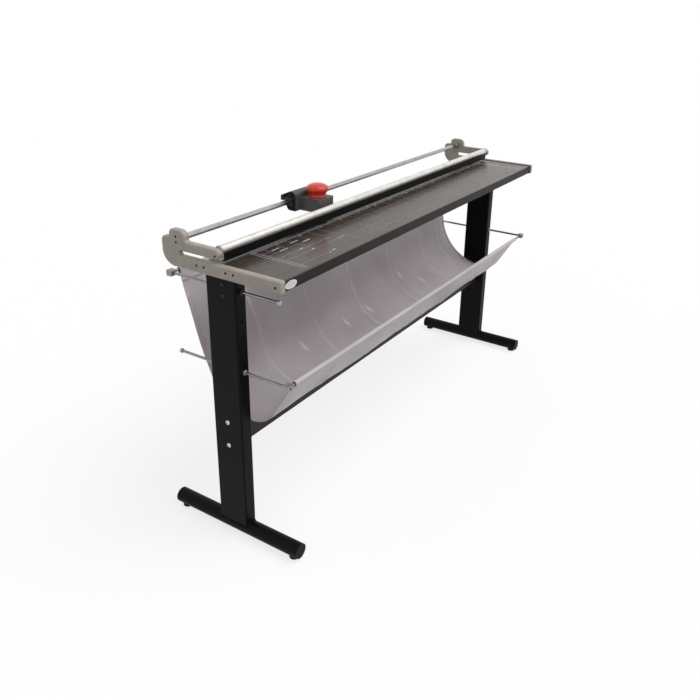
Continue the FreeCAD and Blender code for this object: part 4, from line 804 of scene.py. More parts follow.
# %% Small fixings
LOW_SCREW = [(0, 0), (3.4, 0), (3.5, 0.2), (2.7, 0.8), (1.6, 0.85), (1.25, 0.8), (1.25, 0.25),
             (0, 0.15)]
LOW_SOCKET = (5, 6)
KNIFE_SCREW_COUNT = 13
KNIFE_SCREW_REACH = 744
KNIFE_REAR_Y, KNIFE_SCREW_Z = 52, 806
BASE_SCREW_XS, BASE_SCREW_YS, BASE_PLATE_Z = (-325, -264), (39, 98), 839

shape = bmesh.new()
for number in range(KNIFE_SCREW_COUNT):
    x = KNIFE_SCREW_REACH * (2 * number / (KNIFE_SCREW_COUNT - 1) - 1)
    turn_profile(shape, LOW_SCREW, at(x, KNIFE_REAR_Y, KNIFE_SCREW_Z), (0, 1, 0),
                 hexagonal=LOW_SOCKET)
add_piece("knife_screws", shape, "frame", "zinc_screw")

shape = bmesh.new()
for x in BASE_SCREW_XS:
    for y in BASE_SCREW_YS:
        turn_profile(shape, LOW_SCREW, at(x, y, BASE_PLATE_Z), (0, 0, -1), hexagonal=LOW_SOCKET)
add_piece("base_plate_screws", shape, "head", "zinc_screw")
print("knife screws", KNIFE_SCREW_COUNT, "and 4 under the head")

# %% [markdown]
# ## Lock screws in the corner blocks
# Each corner block has a third hole, from its outer side to the long rod, and a headless screw in
# it presses on the rod. It could be left out, since only its end shows, but the dark end with its
# socket is what makes the block read as a clamp. It starts on the rod and stays inside the hole.

# %% Corner-block lock screws
CORNER_LOCK = [(0, 0), (3.0, 0), (3.0, 2.6), (2.7, 2.9), (2.0, 2.9), (1.5, 2.8), (1.5, 1.2),
               (0, 1.0)]

shape = bmesh.new()
for end in BOTH_ENDS:
    for y, z, way in ((REAR_ROD_Y, UPPER_Z, 1), (FRONT_ROD_Y, LOWER_Z, -1)):
        turn_profile(shape, CORNER_LOCK, at(end * LEG_X, y + way * ROD_RADIUS, z), (0, way, 0),
                     hexagonal=(5, 6))
add_piece("corner_lock_screws", shape, "frame", "black_screw")
print("corner lock screws 4")

# %% [markdown]
# ## Weld seams
# Each leg stands astride its foot tube and is welded all round. The seam follows the leg's rounded
# outline and rides up over the round tube, and a bead laid by hand has a small ripple. It is a
# tube swept along a line of points. A curve with a bevel would sweep it too, but a function that
# takes the points, a direction that leads outward at each, and the radius gives the ripple for
# free, and the springs can use it as well.

# %% Weld beads
FOOT_AXIS_Z = 28.5
FOOT_RADIUS = 22.0
LEG_HALF_X, LEG_HALF_Y = 20.0, 50.0
LEG_CORNER = 6.0
BEAD_STEP = 0.9
BEAD_RADIUS = 2.0
BEAD_OUT, BEAD_UP = 0.7, 0.4
RIPPLE, RIPPLE_PITCH = 0.28, 2.3


def sweep_tube(shape, points, outward, radii, sides=8, closed=False):
    """A tube along points in metres; outward leads away from the line at each point."""
    count = len(points)
    rings = []
    for i, (point, lead, radius) in enumerate(zip(points, outward, radii)):
        after = points[(i + 1) % count] if closed else points[min(i + 1, count - 1)]
        before = points[i - 1] if closed else points[max(i - 1, 0)]
        run = (after - before).normalized()
        side = run.cross(lead).normalized()
        lead = side.cross(run)
        rings.append([shape.verts.new(point + radius * (math.cos(a) * lead + math.sin(a) * side))
                      for a in (math.tau * k / sides for k in range(sides))])
    if closed:
        rings.append(rings[0])
    else:
        shape.faces.new(rings[0])
        shape.faces.new(rings[-1][::-1])
    for low, high in zip(rings, rings[1:]):
        for k in range(sides):
            following = (k + 1) % sides
            shape.faces.new([low[k], low[following], high[following], high[k]])


def leg_outline():
    """Points round the leg's outline in millimetres, evenly spaced, with the way outward."""
    found = []
    arc_steps = round(LEG_CORNER * math.tau / 4 / BEAD_STEP)
    for side_x, side_y, start in ((1, 1, 0), (-1, 1, 90), (-1, -1, 180), (1, -1, 270)):
        centre = Vector((side_x * (LEG_HALF_X - LEG_CORNER), side_y * (LEG_HALF_Y - LEG_CORNER)))
        for step in range(arc_steps):
            angle = math.radians(start + 90 * step / arc_steps)
            lead = Vector((math.cos(angle), math.sin(angle)))
            found.append((centre + lead * LEG_CORNER, lead))
        angle = math.radians(start + 90)
        lead = Vector((math.cos(angle), math.sin(angle)))
        run = 2 * ((LEG_HALF_X if start % 180 == 0 else LEG_HALF_Y) - LEG_CORNER)
        run_steps = round(run / BEAD_STEP)
        for step in range(run_steps):
            along = Vector((-lead.y, lead.x)) * run * step / run_steps
            found.append((centre + lead * LEG_CORNER + along, lead))
    return found


for name, leg_x in (("left_weld_bead", -LEG_X), ("right_weld_bead", LEG_X)):
    points, leads, radii = [], [], []
    for number, (spot, lead) in enumerate(leg_outline()):
        height = FOOT_AXIS_Z + math.sqrt(FOOT_RADIUS ** 2 - spot.x ** 2)
        points.append(at(leg_x + spot.x + lead.x * BEAD_OUT, spot.y + lead.y * BEAD_OUT,
                         height + BEAD_UP))
        leads.append(Vector((lead.x, lead.y, 0)))
        ripple = math.sin(math.tau * number * BEAD_STEP / RIPPLE_PITCH)
        radii.append((BEAD_RADIUS + RIPPLE * ripple) * MILLIMETRE)
    shape = bmesh.new()
    sweep_tube(shape, points, leads, radii, closed=True)
    add_piece(name, shape, "frame", "black_powder")
print("each bead has", len(points), "steps")

# %% [markdown]
# ## Coil springs under the clamp
# Two small coil springs hold the clamp bar up. The wire's line is a helix: the angle grows evenly,
# and the height grows with it, except on the first and last turn, which lie closed as on a real
# spring.

# %% Clamp springs
SPRING_X, SPRING_Y = 793.25, 3.5
SPRING_LOW, SPRING_HIGH = 822.0, 841.0
COIL_RADIUS, WIRE_RADIUS = 2.25, 0.45
COIL_TURNS = 8
COIL_POINTS = 24

coil_low = SPRING_LOW + WIRE_RADIUS
coil_room = SPRING_HIGH - SPRING_LOW - WIRE_RADIUS * 6
shape = bmesh.new()
for end in BOTH_ENDS:
    points, leads = [], []
    for i in range(COIL_TURNS * COIL_POINTS + 1):
        turn = i / COIL_POINTS
        angle = math.tau * turn
        free = min(max((turn - 1) / (COIL_TURNS - 2), 0), 1)
        closed_end = WIRE_RADIUS * 2 * (min(turn, 1) + max(turn - COIL_TURNS + 1, 0))
        height = coil_low + closed_end + coil_room * free
        lead = Vector((math.cos(angle), math.sin(angle), 0))
        points.append(at(end * SPRING_X, SPRING_Y, height) + lead * COIL_RADIUS * MILLIMETRE)
        leads.append(lead)
    sweep_tube(shape, points, leads, [WIRE_RADIUS * MILLIMETRE] * len(points))
springs = add_piece("clamp_coil_springs", shape, "frame", "spring_steel")
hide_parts("clamp_springs")
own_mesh(springs)
print("springs of", COIL_TURNS, "turns")

# %% [markdown]
# ## Rubber feet
# The feet are rubber pads with a saddle on top that fits the round foot tube. A turned disc is the
# quick way to start, and then every corner of the mesh that would stand inside the tube is brought
# down to the tube's underside, which makes the saddle.

# %% Rubber feet
PAD_Y = 203
PAD_PROFILE = [(0, 0), (13.0, 0), (14.1, 0.5), (14.5, 1.8), (14.5, 5.5), (14.5, 8.5), (14.4, 11.5),
               (11.5, 11.5), (8.5, 11.5), (5.0, 11.5), (0, 11.5)]

shape = bmesh.new()
for end in BOTH_ENDS:
    for way in BOTH_ENDS:
        turn_profile(shape, PAD_PROFILE, at(end * LEG_X, way * PAD_Y, 0), (0, 0, 1), steps=48)
for corner in shape.verts:
    aside = abs(corner.co.x) / MILLIMETRE - LEG_X
    saddle = FOOT_AXIS_Z - math.sqrt(FOOT_RADIUS ** 2 - aside ** 2)
    corner.co.z = min(corner.co.z, saddle * MILLIMETRE)
pads = add_piece("saddle_feet", shape, "frame", "rubber")
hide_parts("rubber_feet")
print("pads 4")

# %% [markdown]
# ## The palm knob
# The knob is pushed along with a flat hand. It is a glossy moulding with a low dome, a full rim
# and a narrower foot, and soft flutes under the rim give grip to the fingers. It is turned from a
# profile like the screws, but its radius also swings in and out a little on the way round, and
# only on the underside.

# %% Palm knob
KNOB_PLACE = at(-294.5, 69, 881)
KNOB_FLUTES = 20
FLUTE_SHARE, FLUTE_SOFTNESS = 0.035, 0.7
FLUTE_LOW, FLUTE_MIDDLE, FLUTE_HIGH = 5.0, 14.0, 23.5
KNOB_PROFILE = [
    (0, 0), (26.2, 0), (27.1, 0.8), (27.1, 3.2), (26.4, 4.2), (26.2, 7.0), (26.6, 9.5),
    (27.9, 12.5), (30.0, 15.6), (32.0, 18.2), (33.5, 20.6), (34.3, 22.8), (34.5, 25.0),
    (34.4, 27.2), (33.7, 29.4), (32.0, 31.8), (29.2, 34.1), (25.5, 36.2), (21.0, 38.0),
    (16.0, 39.4), (11.0, 40.3), (5.5, 40.85), (0, 41)]


def knob_flute(angle, height):
    """How far the radius is drawn in at a place on the knob."""
    if height < FLUTE_MIDDLE:
        share = (height - FLUTE_LOW) / (FLUTE_MIDDLE - FLUTE_LOW)
    else:
        share = (FLUTE_HIGH - height) / (FLUTE_HIGH - FLUTE_MIDDLE)
    depth = max(share, 0.0) ** FLUTE_SOFTNESS * FLUTE_SHARE
    return 1 - depth * (0.5 - 0.5 * math.cos(KNOB_FLUTES * angle))


shape = bmesh.new()
turn_profile(shape, KNOB_PROFILE, KNOB_PLACE, (0, 0, 1), steps=160, flute=knob_flute)
knob = add_piece("palm_knob_moulded", shape, "head", "knob_red")
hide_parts("palm_knob")
print("knob", round(knob.dimensions.x * 1000), "mm wide")

# %% [markdown]
# ## Printing on the table
# The table is printed with pale ink. An image on the enamel would be one way to do it, and lines
# in the finish another. Here each line is a very thin block that starts just inside the table and
# stands a twentieth of a millimetre above it, because its edge then stays crisp from every side
# and the lines keep to the millimetre.

# %% Printing tools
TABLE_Z = 822.0
INK_HEIGHT = 0.05
INK_SUNK = 0.03
INKS = {
    "ruler_ink": tone(206, 212, 218),
    "frame_ink": tone(138, 137, 138),
    "bright_ink": tone(236, 238, 234),
}
for name, color in INKS.items():
    finishes[name] = grained(name, color, color, 0.4, 900, 0.00001)


def add_ink(shape, left, right, front, rear):
    """A printed bar on the table, between four sides in millimetres."""
    add_block(shape, at(left, front, TABLE_Z - INK_SUNK), at(right, rear, TABLE_Z + INK_HEIGHT))


print("inks", sorted(INKS))

# %% [markdown]
# ## The ruler
# A ruler runs along the table in front of the clamp: two long lines and a tick for each
# centimetre, longer at every fifth. The ticks come from a loop, so their spacing is exact. Two
# lines at each end of the ruler run down to the front edge of the table.

# %% Ruler
RULER_LEFT, RULER_RIGHT = -690, 718
RULER_LINES = (-2.2, -9.4)
LINE_HALF = 0.65
END_LINES = (-693, -682, 714, 722)
END_LINE_FRONT = -186
TICK_HALF = 0.22
TICK_SHORT, TICK_LONG = 3.0, 6.4

shape = bmesh.new()
for y in RULER_LINES:
    add_ink(shape, RULER_LEFT, RULER_RIGHT, y - LINE_HALF, y + LINE_HALF)
for x in END_LINES:
    add_ink(shape, x - LINE_HALF, x + LINE_HALF, END_LINE_FRONT, RULER_LINES[0])
for centimetre in range((RULER_RIGHT - RULER_LEFT) // 10 + 1):
    x = RULER_LEFT + 10 * centimetre
    length = TICK_SHORT if centimetre % 5 else TICK_LONG
    add_ink(shape, x - TICK_HALF, x + TICK_HALF, RULER_LINES[1], RULER_LINES[1] + length)
add_piece("ruler_lines", shape, "frame", "table_enamel", "ruler_ink")
print("ruler", RULER_RIGHT - RULER_LEFT, "mm")

# %% [markdown]
# ## The ruler's numbers
# Every tenth centimetre has a plain number. Blender's own text object draws it with its built-in
# letters, and the result is turned into a mesh, so that it becomes one piece like the ticks. A
# text's size is the height of a whole line, so it is larger than the digits that it gives.

# %% Ruler numbers
NUMBER_HEIGHT = 0.0055
LINE_SHARE = 1.4
NUMBER_Y = -16.0


def add_number(text, x, y):
    """A plain printed number, centred at a point of the table, as a mesh."""
    letters = bpy.data.curves.new("number_" + text, "FONT")
    letters.body = text
    letters.size = NUMBER_HEIGHT * LINE_SHARE
    letters.align_x = "CENTER"
    letters.extrude = (INK_HEIGHT + INK_SUNK) / 2 * MILLIMETRE
    pattern = bpy.data.objects.new("number_" + text, letters)
    bpy.context.collection.objects.link(pattern)
    bpy.context.view_layer.update()
    mesh = bpy.data.meshes.new_from_object(pattern)
    bpy.data.objects.remove(pattern)
    mesh.transform(Matrix.Translation(at(x, y, TABLE_Z + (INK_HEIGHT - INK_SUNK) / 2)))
    return mesh


shape = bmesh.new()
for tens in range(1, (RULER_RIGHT - RULER_LEFT) // 100 + 1):
    shape.from_mesh(add_number(str(tens * 10), RULER_LEFT + 100 * tens, NUMBER_Y))
add_piece("ruler_numbers", shape, "frame", "table_enamel", "ruler_ink")
print("numbers up to", tens * 10)

# %% [markdown]
# ## Sheet-size frames
# Thin frames beside the ruler show where common sheets go, with short bright bars where their
# names would be, and a plain grid covers the rest of the table. Only the outline of each frame
# matters, so lists of left, right and depth say it all, and the bars carry no letters.

# %% Sheet-size frames
FRAME_LINES = [(-682, -600, -36), (-682, -500, -56), (-682, -455, -88), (-682, -413, -115),
               (-682, -540, -162)]
CROSS_LINES = [(-648, -60), (-600, -50), (-555, -150), (-500, -56), (-455, -92), (-413, -165)]
MARKS = [(-640, -610, -34), (-563, -528, -34), (-632, -598, -54), (-532, -500, -54),
         (-588, -573, -86), (-492, -458, -88), (-455, -418, -114), (-570, -558, -112),
         (-562, -556, -166), (-542, -526, -160)]
MARK_HALF = 1.1
GRID_LEFT, GRID_STEP = -350, 50
GRID_ROWS = (-50, -85, -120, -155)
GRID_HALF = 0.35

shape = bmesh.new()
for left, right, y in FRAME_LINES:
    add_ink(shape, left, right, y - LINE_HALF, y + LINE_HALF)
for x, front in CROSS_LINES:
    add_ink(shape, x - LINE_HALF, x + LINE_HALF, front, RULER_LINES[1])
for x in range(GRID_LEFT, END_LINES[2], GRID_STEP):
    add_ink(shape, x - GRID_HALF, x + GRID_HALF, END_LINE_FRONT, RULER_LINES[1])
for y in GRID_ROWS:
    add_ink(shape, CROSS_LINES[-1][0], END_LINES[2], y - GRID_HALF, y + GRID_HALF)
add_piece("sheet_frames", shape, "frame", "table_enamel", "frame_ink")
shape = bmesh.new()
for left, right, y in MARKS:
    add_ink(shape, left, right, y - MARK_HALF, y + MARK_HALF)
add_piece("sheet_marks", shape, "frame", "table_enamel", "bright_ink")
print("frames", len(FRAME_LINES), "marks", len(MARKS))

# %% [markdown]
# ## The dark band on the front
# The flange in front is drawn near-black and dull. Painted in the table's own enamel it would
# mirror the white room and turn pale at this low angle, so a film a few hundredths of a millimetre
# thick lies over it, with a duller finish, and leaves the bend at the top to the enamel.

# %% Front band
BAND_THICKNESS = 0.06
BAND_MARGIN_TOP, BAND_MARGIN_BOTTOM = 1.2, 0.3
finishes["band_black"] = grained("band_black", tone(32, 25, 23), tone(44, 36, 33), 0.42, 1500,
                                 0.00002, specular_ior_level=0.12)

shape = bmesh.new()
tray_low, tray_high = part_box("table_tray")
front = tray_low[1]
add_block(shape,
          (tray_low[0], front - BAND_THICKNESS * MILLIMETRE,
           tray_low[2] + BAND_MARGIN_BOTTOM * MILLIMETRE),
          (tray_high[0], front + INK_SUNK * MILLIMETRE,
           tray_high[2] - BAND_MARGIN_TOP * MILLIMETRE))
add_piece("flange_band", shape, "frame", "table_enamel", "band_black")
print("band", round((tray_high[2] - tray_low[2]) / MILLIMETRE - BAND_MARGIN_TOP
                    - BAND_MARGIN_BOTTOM, 1), "mm high")

# %% [markdown]
# ## The oval badge
# A small plain oval with a metal rim sits at the left end of the band. Both parts are turned round
# and then stretched along X, which is the easy way from a circle to an oval.

# %% Blank badge
BADGE_PLACE = at(-771.5, -200, 806.8)
BADGE_HALF_HEIGHT = 10.6
BADGE_STRETCH = 2.1
BADGE_RIM = [(9.5, 0), (BADGE_HALF_HEIGHT, 0), (BADGE_HALF_HEIGHT, 0.7), (10.2, 1.0), (9.7, 1.0),
             (9.5, 0.8)]
BADGE_FACE = [(0, 0), (9.55, 0), (9.55, 0.55), (6, 0.62), (0, 0.65)]
finishes.update({
    "badge_metal": worked_metal("badge_metal", tone(224, 224, 226), 0.2, 0.34, ALONG_X),
    "badge_face": grained("badge_face", tone(226, 226, 226), tone(226, 226, 226), 0.34, 900,
                          0.00002),
})

for name, profile, finish, closed in (("badge_rim", BADGE_RIM, "badge_metal", True),
                                      ("badge_blank", BADGE_FACE, "badge_face", False)):
    shape = bmesh.new()
    turn_profile(shape, profile, BADGE_PLACE, (0, -1, 0), steps=64, closed=closed)
    for corner in shape.verts:
        corner.co.x = BADGE_PLACE.x + (corner.co.x - BADGE_PLACE.x) * BADGE_STRETCH
    add_piece(name, shape, "frame", "table_enamel", finish)
print("badge", round(BADGE_HALF_HEIGHT * 2 * BADGE_STRETCH), "by", BADGE_HALF_HEIGHT * 2, "mm")

# %% [markdown]
# ## The catcher's cloth
# The catcher is one panel of coated cloth that hangs between two rods: steep behind, round below
# and turned up again at the front. At each end the cloth goes over its rod and is sewn to itself,
# which makes a sleeve with a drop-shaped section. A simulation would find such a curve slowly and
# lose the crisp seams, so the section is drawn first as lines and arcs, as a tailor's pattern
# would be, and the softness comes after it. The whole line, flap to flap, is one row of points, so
# its length is the length of the cloth before it was sewn.

# %% The cloth's section
REAR_AXIS, FRONT_AXIS = Vector((REAR_ROD_Y, UPPER_Z)), Vector((FRONT_ROD_Y, LOWER_Z))
CLOTH_LEFT, CLOTH_RIGHT = -758.0, 758.0
CLOTH_WIDTH = CLOTH_RIGHT - CLOTH_LEFT
BOTTOM_Y = -45.0
BOTTOM_Z = (366.5, 370.0)
REAR_ARC = (141.0, 200.0)
FRONT_ARC = 92.0
MIDDLE_INSET = 1.0
SEAM_DROP = 22.0
FLAP = 11.0
PLY = 1.3
SLEEVE_RADIUS, SLEEVE_UNEVEN = 6.3, 0.35
ROWS = {"rear": 30, "rear_arc": 34, "front_arc": 16, "front": 16, "sleeve": 18, "flap": 3}
SLEEVE_ROWS = ROWS["flap"] + ROWS["sleeve"] + 2


def between(pair, share):
    """A value at a share of the way from the first to the second."""
    return pair[0] + (pair[1] - pair[0]) * share


def on_circle(centre, radius, angle):
    """A point of a circle."""
    return centre + Vector((math.cos(angle), math.sin(angle))) * radius


def touch_angle(point, centre, radius, side):
    """The angle at which a line from a point touches a circle."""
    away = point - centre
    angle = math.atan2(away.y, away.x) + side * math.acos(radius / away.length)
    return math.remainder(angle, math.tau)


def sleeve(axis, panel_way, inward, share):
    """The cloth from its flap, over the rod and down to the seam on the outer side."""
    radius = SLEEVE_RADIUS + SLEEVE_UNEVEN * noise.noise(Vector((share * 50, axis.x, 0)))
    contact = math.acos(radius / SEAM_DROP)
    points = [axis + panel_way * (SEAM_DROP + FLAP * (1 - k / ROWS["flap"])) + inward * PLY
              for k in range(ROWS["flap"] + 1)]
    for k in range(ROWS["sleeve"] + 1):
        angle = contact + (math.tau - 2 * contact) * k / ROWS["sleeve"]
        points.append(axis + radius * (math.cos(angle) * panel_way + math.sin(angle) * inward))
    return points


def hanging_line(share):
    """The panel's line from seam to seam at a share of the width, and its two sleeves."""
    bottom = Vector((BOTTOM_Y, between(BOTTOM_Z, share) + MIDDLE_INSET))
    rear_radius = between(REAR_ARC, share) - MIDDLE_INSET
    front_radius = FRONT_ARC - MIDDLE_INSET
    rear_centre = bottom + Vector((0, rear_radius))
    front_centre = bottom + Vector((0, front_radius))
    rear_touch = touch_angle(REAR_AXIS, rear_centre, rear_radius, -1)
    front_touch = touch_angle(FRONT_AXIS, front_centre, front_radius, 1)
    lowest = -math.tau / 4
    rear_tangent = on_circle(rear_centre, rear_radius, rear_touch)
    front_tangent = on_circle(front_centre, front_radius, front_touch)
    rear_way = (rear_tangent - REAR_AXIS).normalized()
    front_way = (front_tangent - FRONT_AXIS).normalized()
    rear_seam = REAR_AXIS + rear_way * SEAM_DROP
    front_seam = FRONT_AXIS + front_way * SEAM_DROP
    line = [rear_seam.lerp(rear_tangent, k / ROWS["rear"]) for k in range(ROWS["rear"])]
    line += [on_circle(rear_centre, rear_radius,
                       between((rear_touch, lowest), k / ROWS["rear_arc"]))
             for k in range(ROWS["rear_arc"])]
    line += [on_circle(front_centre, front_radius,
                       between((lowest, front_touch), k / ROWS["front_arc"]))
             for k in range(ROWS["front_arc"])]
    line += [front_tangent.lerp(front_seam, k / ROWS["front"]) for k in range(ROWS["front"] + 1)]
    rear_inward = (rear_centre - rear_tangent).normalized()
    front_inward = (front_centre - front_tangent).normalized()
    return (sleeve(REAR_AXIS, rear_way, rear_inward, share), line,
            sleeve(FRONT_AXIS, front_way, front_inward, share)[::-1])


def run_lengths(points):
    """How far along the line each point is."""
    total, lengths = 0.0, [0.0]
    for before, after in zip(points, points[1:]):
        total += (after - before).length
        lengths.append(total)
    return lengths


line_lengths = [run_lengths(hanging_line(share)[1])[-1] for share in (0, 0.5, 1)]
print("seam to seam", [round(length) for length in line_lengths], "mm")

# %% [markdown]
# ## Folds and creases
# Real cloth keeps the folds it was packed with: sharp ridges from rod to rod, about a quarter of a
# metre apart. It also sags in slow waves, pulls in small gathers below the sleeves and dents where
# it was pressed. Each of these is a small distance across the cloth, added up at every point and
# faded out at the seams, where the rods hold the cloth straight.

# %% The cloth's softness
CREASES = (-540.0, -285.0, -30.0, 240.0, 505.0, 652.0)
CREASE_HEIGHT, CREASE_WIDTH = 5.5, 6.0
DENTS = ((-385.0, 351.0), (-140.0, 356.0), (5.0, 359.0), (290.0, 309.0), (395.0, 370.0))
LEFT_BULGE = 8.0
SAG, SAG_PITCH = 1.5, 505.0
WANDER, LEAN = 9.0, 14.0
DENT_DEPTH, DENT_SLANT = 3.2, 0.25
GATHER = 1.3
# How strong the painted highlight on creases and dents is, and how far it fades from the seams.
FOLD_HIGHLIGHT = 0.85
HEM_FADE, FOLD_HIGHLIGHT_FADE = 25, 60


def bump(distance, width):
    """A smooth hump that is 1 in the middle and fades over a width."""
    return math.exp(-(distance / width) ** 2)


def seam_fade(along, length, width):
    """0 at the seams and 1 from a width away from them."""
    return min(1.0, along / width, (length - along) / width)


def crease_offset(number, x, along, length):
    """How far a point is from a crease, and how strong the crease is there."""
    wander = WANDER * noise.noise(Vector((number * 7.3, along / 150, 0)))
    lean = LEAN * (along / length - 0.5) * (-1) ** number
    strength = 0.65 + 0.55 * noise.noise(Vector((number * 3.1, along / 95, 9)))
    return x - CREASES[number] - wander - lean, strength


def dents(x, along, width, height):
    """How much of a dent is at a point; each is a slanted oval hump."""
    return sum(bump(x - place - (along - depth) * DENT_SLANT, width) * bump(along - depth, height)
               for place, depth in DENTS)


def softness(x, along, length):
    """How far the cloth stands inward from its drawn line, in millimetres."""
    free = math.sin(math.pi * min(max(along / length, 0.0), 1.0)) ** 0.6
    sag = SAG * (1 - math.cos(math.tau * (x - CLOTH_LEFT) / SAG_PITCH)) * free
    slow = 5.0 * noise.noise(Vector((x / 210, along / 170, 1.7)))
    small = 1.8 * noise.noise(Vector((x / 60, along / 75, 5.1)))
    total = sag + (slow + small) * free
    for number in range(len(CREASES)):
        off, strength = crease_offset(number, x, along, length)
        total += CREASE_HEIGHT * strength * free * (bump(off, CREASE_WIDTH)
                                                    - 0.75 * bump(off - 20, 15)
                                                    - 0.35 * bump(off + 22, 16))
    total -= DENT_DEPTH * dents(x, along, 9, 22)
    gathers = noise.noise(Vector((x / 17, along / 120, 3.3)))
    total += GATHER * gathers * (math.exp(-along / 60) + math.exp(-(length - along) / 45))
    total -= LEFT_BULGE * bump(x - CLOTH_LEFT, 170) * bump(along - 190, 150)
    return total * seam_fade(along, length, HEM_FADE)


def fold_highlight_share(x, along, length):
    """How strongly a painted highlight lightens a point on the creases and dents, from 0 to 1."""
    pale = 0.0
    for number in range(len(CREASES)):
        off, strength = crease_offset(number, x, along, length)
        streak = 0.55 + 0.9 * noise.noise(Vector((number * 5.7, along / 38, 4)))
        pale += FOLD_HIGHLIGHT * strength * max(streak, 0.12) * bump(off - 1.5, 4.5)
    pale += FOLD_HIGHLIGHT * dents(x, along, 6, 16)
    return min(pale * seam_fade(along, length, FOLD_HIGHLIGHT_FADE), 1.0)


def inward_at(row, number):
    """The way into the trough at a point of a row."""
    way = (row[min(number + 1, len(row) - 1)] - row[max(number - 1, 0)]).normalized()
    return Vector((way.y, -way.x))


def cloth_row(x):
    """The whole line of the cloth at a place along X, flap to flap, with its folds."""
    rear, line, front = hanging_line((x - CLOTH_LEFT) / CLOTH_WIDTH)
    lengths = run_lengths(line)
    soft = [point + inward_at(line, number) * softness(x, lengths[number], lengths[-1])
            for number, point in enumerate(line)]
    return rear + soft + front


def fold_highlight_row(x):
    """How strong the painted crease and dent highlight is at each point of the same row."""
    rear, line, front = hanging_line((x - CLOTH_LEFT) / CLOTH_WIDTH)
    lengths = run_lengths(line)
    return ([0.0] * len(rear) + [fold_highlight_share(x, along, lengths[-1]) for along in lengths]
            + [0.0] * len(front))


print("a row of the cloth has", len(cloth_row(0.0)), "points")

# %% [markdown]
# ## Cutting and hanging the panel
# The rows are joined into one panel, 340 rows along X. In the photograph the front right corner is
# drawn back from the end of its rod, so the panel is cut a little narrower toward that corner. A
# Solidify modifier gives the cloth its thickness. The panel's flat size is the width by the
# length of a row, and its area is less, by the piece that is missing at the corner.

# %% The panel
STATIONS = 340
CLOTH_THICKNESS = 0.9
CORNER_BACK = 53.0
CORNER_START, CORNER_CURVE = 0.5, 1.4


def right_edge(share_along):
    """Where the right edge of the cut is, at a share of the length."""
    share = min(max((share_along - CORNER_START) / (1 - CORNER_START), 0.0), 1.0)
    return CLOTH_RIGHT - CORNER_BACK * share ** CORNER_CURVE


def cloth_place(x_share, number, count):
    """The place along X for a point of a row."""
    return CLOTH_LEFT + x_share * (right_edge(number / (count - 1)) - CLOTH_LEFT)


def thicken(piece):
    """Gives a single sheet of mesh the cloth's thickness, half to each side."""
    thick = piece.modifiers.new("thickness", "SOLIDIFY")
    thick.thickness = CLOTH_THICKNESS * MILLIMETRE
    thick.offset = 0.0


def add_panel():
    """The whole cloth as one mesh, and its flat length and area in metres."""
    shape = bmesh.new()
    fold_highlight = shape.verts.layers.float.new("fold_highlight")
    grid, longest, area = [], 0.0, 0.0
    for station in range(STATIONS + 1):
        share = station / STATIONS
        x = CLOTH_LEFT + share * CLOTH_WIDTH
        row = cloth_row(x)
        lengths = run_lengths(row)
        longest = max(longest, lengths[-1])
        grid.append([shape.verts.new(at(cloth_place(share, k, len(row)), *point))
                     for k, point in enumerate(row)])
        # Each point keeps the strength of the painted highlight on the cloth.
        for corner, pale in zip(grid[-1], fold_highlight_row(x)):
            corner[fold_highlight] = pale
        if station:
            area += sum((lengths[k + 1] - lengths[k])
                        * (right_edge(k / (len(row) - 1)) - CLOTH_LEFT) / STATIONS
                        for k in range(len(row) - 1))
    join_rows(shape, grid)
    panel = add_piece("catcher_cloth_panel", shape, "frame", "catcher_cloth")
    thicken(panel)
    return panel, longest * MILLIMETRE, area * MILLIMETRE ** 2


panel, cloth_length, cloth_area = add_panel()
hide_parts("catcher_sheet")
print("cloth", round(CLOTH_WIDTH), "by", round(cloth_length * 1000), "mm,",
      round(cloth_area, 3), "square metres")

# %% [markdown]
# ## Side hems
# The two side edges are turned in and sewn. The turned part could be drawn as a fold in the
# panel's own mesh, but its rows run from rod to rod, so a fold across them is awkward. A narrow
# second ply that follows the same rows a little way inside looks the same and stays a piece of its
# own.

# %% Side hems
HEM_WIDTH = 13.0
HEM_PLY = 1.15
HEM_EDGE = 0.0004
HEM_STRIPS = 3
HEM_START = SLEEVE_ROWS + 5
finishes["cloth_thread"] = grained("cloth_thread", tone(186, 180, 184), tone(186, 180, 184), 0.6,
                                   900, 0.00004)


def add_side_hem(name, share_edge, share_inner):
    """A narrow ply along one side edge of the panel."""
    shape = bmesh.new()
    grid = []
    for step in range(HEM_STRIPS + 1):
        share = between((share_edge, share_inner), step / HEM_STRIPS)
        row = cloth_row(CLOTH_LEFT + share * CLOTH_WIDTH)
        grid.append([
            shape.verts.new(at(cloth_place(share, k, len(row)),
                               *(row[k] + inward_at(row, k) * HEM_PLY)))
            for k in range(HEM_START, len(row) - HEM_START)])
    join_rows(shape, grid)
    hem = add_piece(name, shape, "frame", "catcher_cloth")
    thicken(hem)
    return hem


side_hems = [
    add_side_hem("left_side_hem", HEM_EDGE, HEM_WIDTH / CLOTH_WIDTH),
    add_side_hem("right_side_hem", 1 - HEM_EDGE, 1 - HEM_WIDTH / CLOTH_WIDTH),
]
print("side hems", [hem.name for hem in side_hems])
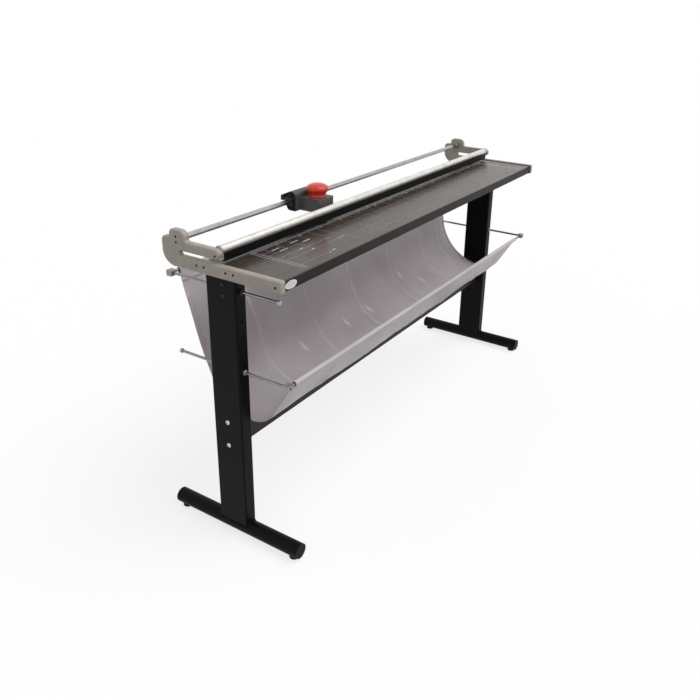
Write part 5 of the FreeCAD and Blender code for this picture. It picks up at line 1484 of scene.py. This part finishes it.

# %% [markdown]
# ## Stitches
# Each sleeve has a row of stitches at its seam. A stitch is a short plump bit of thread that sinks
# into the cloth at its ends, so each is a stretched six-sided bead, laid along the seam every few
# millimetres. From a step away the row is one fine line, which is why a few faces are enough.

# %% Stitches
STITCH_PITCH = 4.4
STITCH_LENGTH = 3.0
STITCH_RADIUS = 0.42
STITCH_SIDES = 6
STITCH_SHOULDER = 0.45
STITCH_START = 4


def add_stitch(shape, middle, way, up):
    """One bead of thread, longer along its way, in metres."""
    side = way.cross(up)
    half = STITCH_LENGTH / 2 * MILLIMETRE
    thin = STITCH_RADIUS * MILLIMETRE
    tips = [shape.verts.new(middle + way * half * end) for end in BOTH_ENDS]
    rings = []
    for tip, end in zip(tips, BOTH_ENDS):
        ring = [shape.verts.new(middle + way * half * STITCH_SHOULDER * end
                                + thin * (math.cos(a) * side + math.sin(a) * up))
                for a in (math.tau * k / STITCH_SIDES for k in range(STITCH_SIDES))]
        for k in range(STITCH_SIDES):
            shape.faces.new([tip, ring[k], ring[(k + 1) % STITCH_SIDES]])
        rings.append(ring)
    low, high = rings
    for k in range(STITCH_SIDES):
        following = (k + 1) % STITCH_SIDES
        shape.faces.new([low[k], low[following], high[following], high[k]])


def add_seam(name, row_number):
    """Stitches along X on the outer side of the cloth, at one point of each row."""
    shape = bmesh.new()
    count = int((CLOTH_WIDTH - CORNER_BACK) / STITCH_PITCH)
    for number in range(count):
        x = CLOTH_LEFT + STITCH_START + number * STITCH_PITCH
        row = cloth_row(x)
        outward = -inward_at(row, row_number)
        point = row[row_number] + outward * CLOTH_THICKNESS / 2
        up = Vector((0, outward.x, outward.y))
        add_stitch(shape, at(x, *point), Vector((1, 0, 0)), up)
    return add_piece(name, shape, "frame", "catcher_cloth", "cloth_thread")


row_count = len(cloth_row(0.0))
seams = [
    add_seam("rear_seam_stitches", SLEEVE_ROWS),
    add_seam("front_seam_stitches", row_count - 1 - SLEEVE_ROWS),
]
print("stitches", sum(len(seam.data.polygons) // (3 * STITCH_SIDES) for seam in seams))
